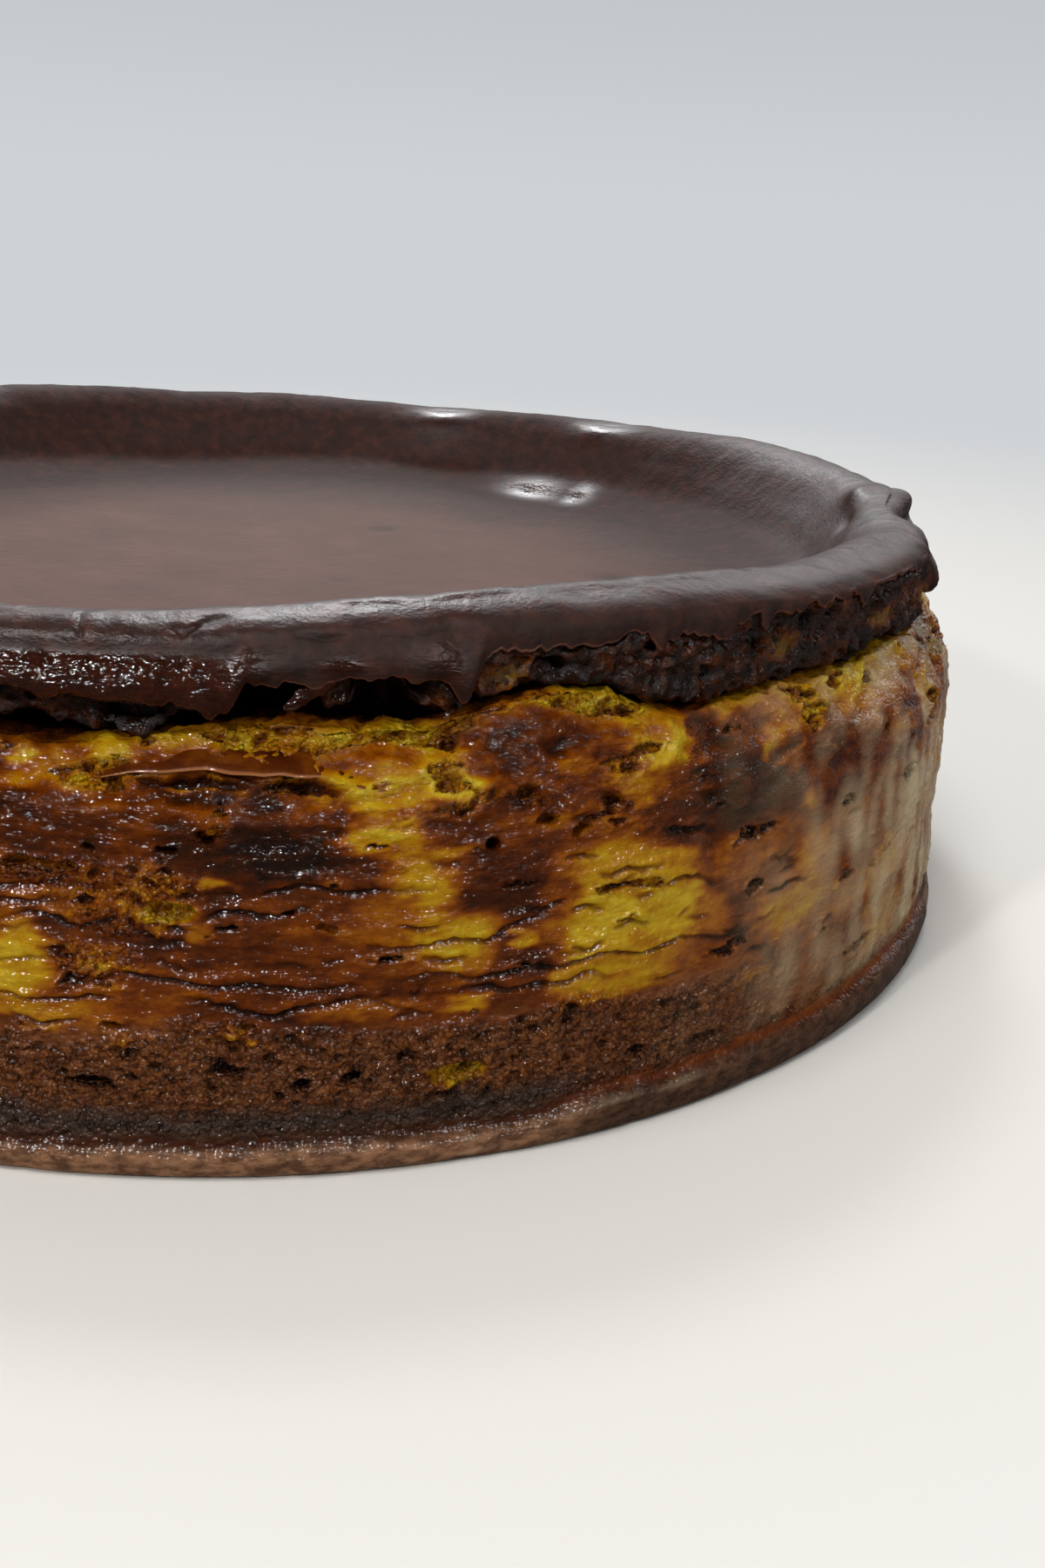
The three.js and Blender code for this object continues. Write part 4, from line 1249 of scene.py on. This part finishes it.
def curl_surface(tree):
    mottle = grain(tree, 1.2, 4.0, 0.6, (2.4, 2.4, 0.8))
    colour = ramp(tree, mottle, CURL_BROWN)
    # Painted highlight along the free edge.
    colour = blended(tree, read(tree, "free"), colour, CURL_EDGE_HIGHLIGHT)
    normal = bumped(tree, [(mottle, 0.10), (grain(tree, 0.35, 2.0, 0.5), 0.05)])
    return {"Base Color": colour, "Roughness": 0.17, "IOR": SKIN_IOR, "Normal": normal}


# ---------------------------------------------------------------- floor, light and camera

ROOM_LOW, ROOM_HIGH = (0.62, 0.645, 0.67, 1), (0.53, 0.56, 0.59, 1)
MIRRORED_ROOM = (0.02, 2.9)  # its brightness beside the band and in it
FLOOR_FADE, FLOOR_REACH = (0.14, 0.55), 12  # metres from the middle
FLOOR_WHITE, FLOOR_MIRRORED = (0.73, 0.715, 0.685, 1), (0.14, 0.135, 0.13, 1)


def floor_material():
    """Warm white near the cake, and far off the pale glow of the room, so that no line shows where it ends.
    What the cake mirrors of the floor is darker than the floor itself."""
    def build(tree):
        mirrored = linked(tree, "ShaderNodeLightPath").outputs["Is Glossy Ray"]
        return {"Base Color": blended(tree, mirrored, FLOOR_WHITE, FLOOR_MIRRORED),
                "Roughness": 0.7, "Specular IOR Level": 0.1}

    material = finish_surface("floor_white", build)
    tree = material.node_tree
    where = linked(tree, "ShaderNodeTexCoord").outputs["Object"]
    parts = linked(tree, "ShaderNodeSeparateXYZ", {"Vector": where})
    far = maths(tree, "SQRT", maths(tree, "ADD", maths(tree, "POWER", parts.outputs[0], 2.0),
                                    maths(tree, "POWER", parts.outputs[1], 2.0)))
    glow = linked(tree, "ShaderNodeEmission", {"Color": ROOM_LOW})
    surface = next(n for n in tree.nodes if n.type == "BSDF_PRINCIPLED")
    inputs = {0: between_values(tree, far, *FLOOR_FADE), 1: surface.outputs[0], 2: glow.outputs[0]}
    both = linked(tree, "ShaderNodeMixShader", inputs)
    out = next(n for n in tree.nodes if n.type == "OUTPUT_MATERIAL")
    tree.links.new(both.outputs[0], out.inputs["Surface"])
    return material


def lay_floor():
    bm = bmesh.new()
    bmesh.ops.create_grid(bm, x_segments=1, y_segments=1, size=FLOOR_REACH)
    mesh = mesh_of(bm, "floor")
    mesh.materials.append(floor_material())
    floor = bpy.data.objects.new("floor", mesh)
    bpy.context.collection.objects.link(floor)


def light_room():
    """Pale room, brightest high up behind and dim in front. What the cake mirrors of it is a room of its own,
    dark but for one bright band, so the gloss isn't lit as the matte colours are."""
    world = bpy.data.worlds.new("room")
    bpy.context.scene.world = world
    world.use_nodes = True
    tree = world.node_tree
    tree.nodes.clear()
    where = linked(tree, "ShaderNodeTexCoord").outputs["Generated"]
    parts = linked(tree, "ShaderNodeSeparateXYZ", {"Vector": where})
    across = maths(tree, "ADD", maths(tree, "MULTIPLY", parts.outputs[0], 0.2), parts.outputs[1])
    behind = between_values(tree, across, -0.6, 0.9, 0.06, 0.50)
    high = between_values(tree, parts.outputs[2], 0.22, 0.6, 1.0, 1.9)
    overhead = between_values(tree, parts.outputs[2], 0.6, 1.0, 0.0, 1.0)
    strength = blended_value(tree, overhead, maths(tree, "MULTIPLY", behind, high), 0.5)
    band = maths(tree, "MULTIPLY", between_values(tree, parts.outputs[2], 0.20, 0.34),
                 between_values(tree, parts.outputs[2], 0.92, 0.55))
    band = maths(tree, "MULTIPLY", band, between_values(tree, parts.outputs[1], 0.3, 0.8))
    mirrored = between_values(tree, band, 0, 1, *MIRRORED_ROOM)
    paths = linked(tree, "ShaderNodeLightPath")
    strength = blended_value(tree, paths.outputs["Is Glossy Ray"], strength, mirrored)
    room = linked(tree, "ShaderNodeBackground", {"Color": (0.96, 0.98, 1.0, 1), "Strength": strength})
    grey = blended(tree, between_values(tree, parts.outputs[2], 0.0, 0.16), ROOM_LOW, ROOM_HIGH)
    seen = linked(tree, "ShaderNodeBackground", {"Color": grey, "Strength": 1.0})
    both = linked(tree, "ShaderNodeMixShader", {0: paths.outputs["Is Camera Ray"], 1: room.outputs[0],
                                                2: seen.outputs[0]})
    linked(tree, "ShaderNodeOutputWorld", {"Surface": both.outputs[0]})


WARM, WHITE, COOL, CREAM = (1.0, 0.97, 0.93), (1.0, 0.98, 0.98), (0.97, 0.98, 1.0), (1.0, 0.985, 0.96)
# Name, direction from the cake, distance and size in m, power in W, colour, and what it shines.
LAMPS = [
    ("key", (-0.45, -0.73, 0.51), 0.65, 0.05, 1.3, WARM, "soft"),
    ("glint", (-0.43, -0.68, 0.56), 0.65, 0.045, 8.0, WHITE, "gloss"),
    ("side_glint", (0.43, -0.72, 0.54), 0.65, 0.045, 3.4, WHITE, "gloss"),
    ("window", (-0.13, 0.46, 0.88), 1.2, 0.24, 3.5, COOL, "soft"),
    ("window_glint", (-0.13, 0.75, 0.70), 1.2, 0.20, 6.5, COOL, "gloss"),
    ("fill", (0.78, -0.45, 0.42), 1.1, 0.7, 1.4, WARM, "all"),
    ("ceiling", (-0.15, -0.25, 0.95), 1.3, 0.7, 8.0, CREAM, "soft"),
]
LAMP_AIM = Vector((0, 0, 0.03))


def hang_light(name, direction, distance, size, power, colour, shines):
    """A round lamp. One that shines "soft" lights without a reflection, and "gloss" is a reflection alone."""
    light = bpy.data.lights.new(name, "AREA")
    light.shape = "DISK"
    light.size = size
    light.energy = power
    light.color = colour
    lamp = bpy.data.objects.new(name, light)
    lamp.location = LAMP_AIM + Vector(direction).normalized() * distance
    lamp.rotation_euler = (LAMP_AIM - lamp.location).to_track_quat("-Z", "Y").to_euler()
    lamp.visible_diffuse = shines != "gloss"
    lamp.visible_glossy = shines != "soft"
    bpy.context.collection.objects.link(lamp)


CAMERA_PLACE = (0.02916, -0.17054, 0.06760)  # metres
CAMERA_DOWN, CAMERA_ROLL = 20.203, 3.254  # degrees
LENS, SENSOR = 35, 36  # mm


def set_camera():
    camera = bpy.data.cameras.new("camera")
    camera.lens = LENS
    camera.sensor_width = SENSOR
    camera.clip_start = 0.001
    holder = bpy.data.objects.new("camera", camera)
    tilt = Matrix.Rotation(math.radians(90 - CAMERA_DOWN), 4, "X")
    roll = Matrix.Rotation(math.radians(CAMERA_ROLL), 4, "Z")
    holder.matrix_world = Matrix.Translation(CAMERA_PLACE) @ tilt @ roll
    bpy.context.collection.objects.link(holder)
    bpy.context.scene.camera = holder


# ---------------------------------------------------------------- everything together

def bake_cake():
    make_effects()
    wall = finish_surface("browned_wall", wall_surface)
    rim = finish_surface("dark_rim", rim_surface)
    total = FRONT_COLUMNS + BACK_COLUMNS
    front, back = (0, FRONT_COLUMNS), (FRONT_COLUMNS, total)
    points, reads = form_wall()
    last = points.shape[1] - 1
    for side, (start, end) in (("front", front), ("back", back)):
        middle = (start + end) // 2
        cut(f"wall_{side}_left", points, reads, (start, middle), (0, last), wall)
        cut(f"wall_{side}_right", points, reads, (middle, end), (0, last), wall)
    thin = finish_surface("thin_skin", curl_surface)
    for name, (edge, width) in SKIN_CURLS.items():
        curl(name, edge, width, thin)
    flap("rim_scrap", *RIM_SCRAP, rim)
    points, reads = form_rim()
    last = points.shape[1] - 1
    cut("rim_front", points, reads, front, (0, SLOPE_END), rim)
    cut("rim_back", points, reads, back, (0, SLOPE_END), rim)
    cut("sunken_top", points, reads, (0, total), (SLOPE_END, last), rim)


bake_cake()
lay_floor()
light_room()
for lamp in LAMPS:
    hang_light(*lamp)
set_camera()
bpy.context.scene.view_settings.view_transform = "Standard"
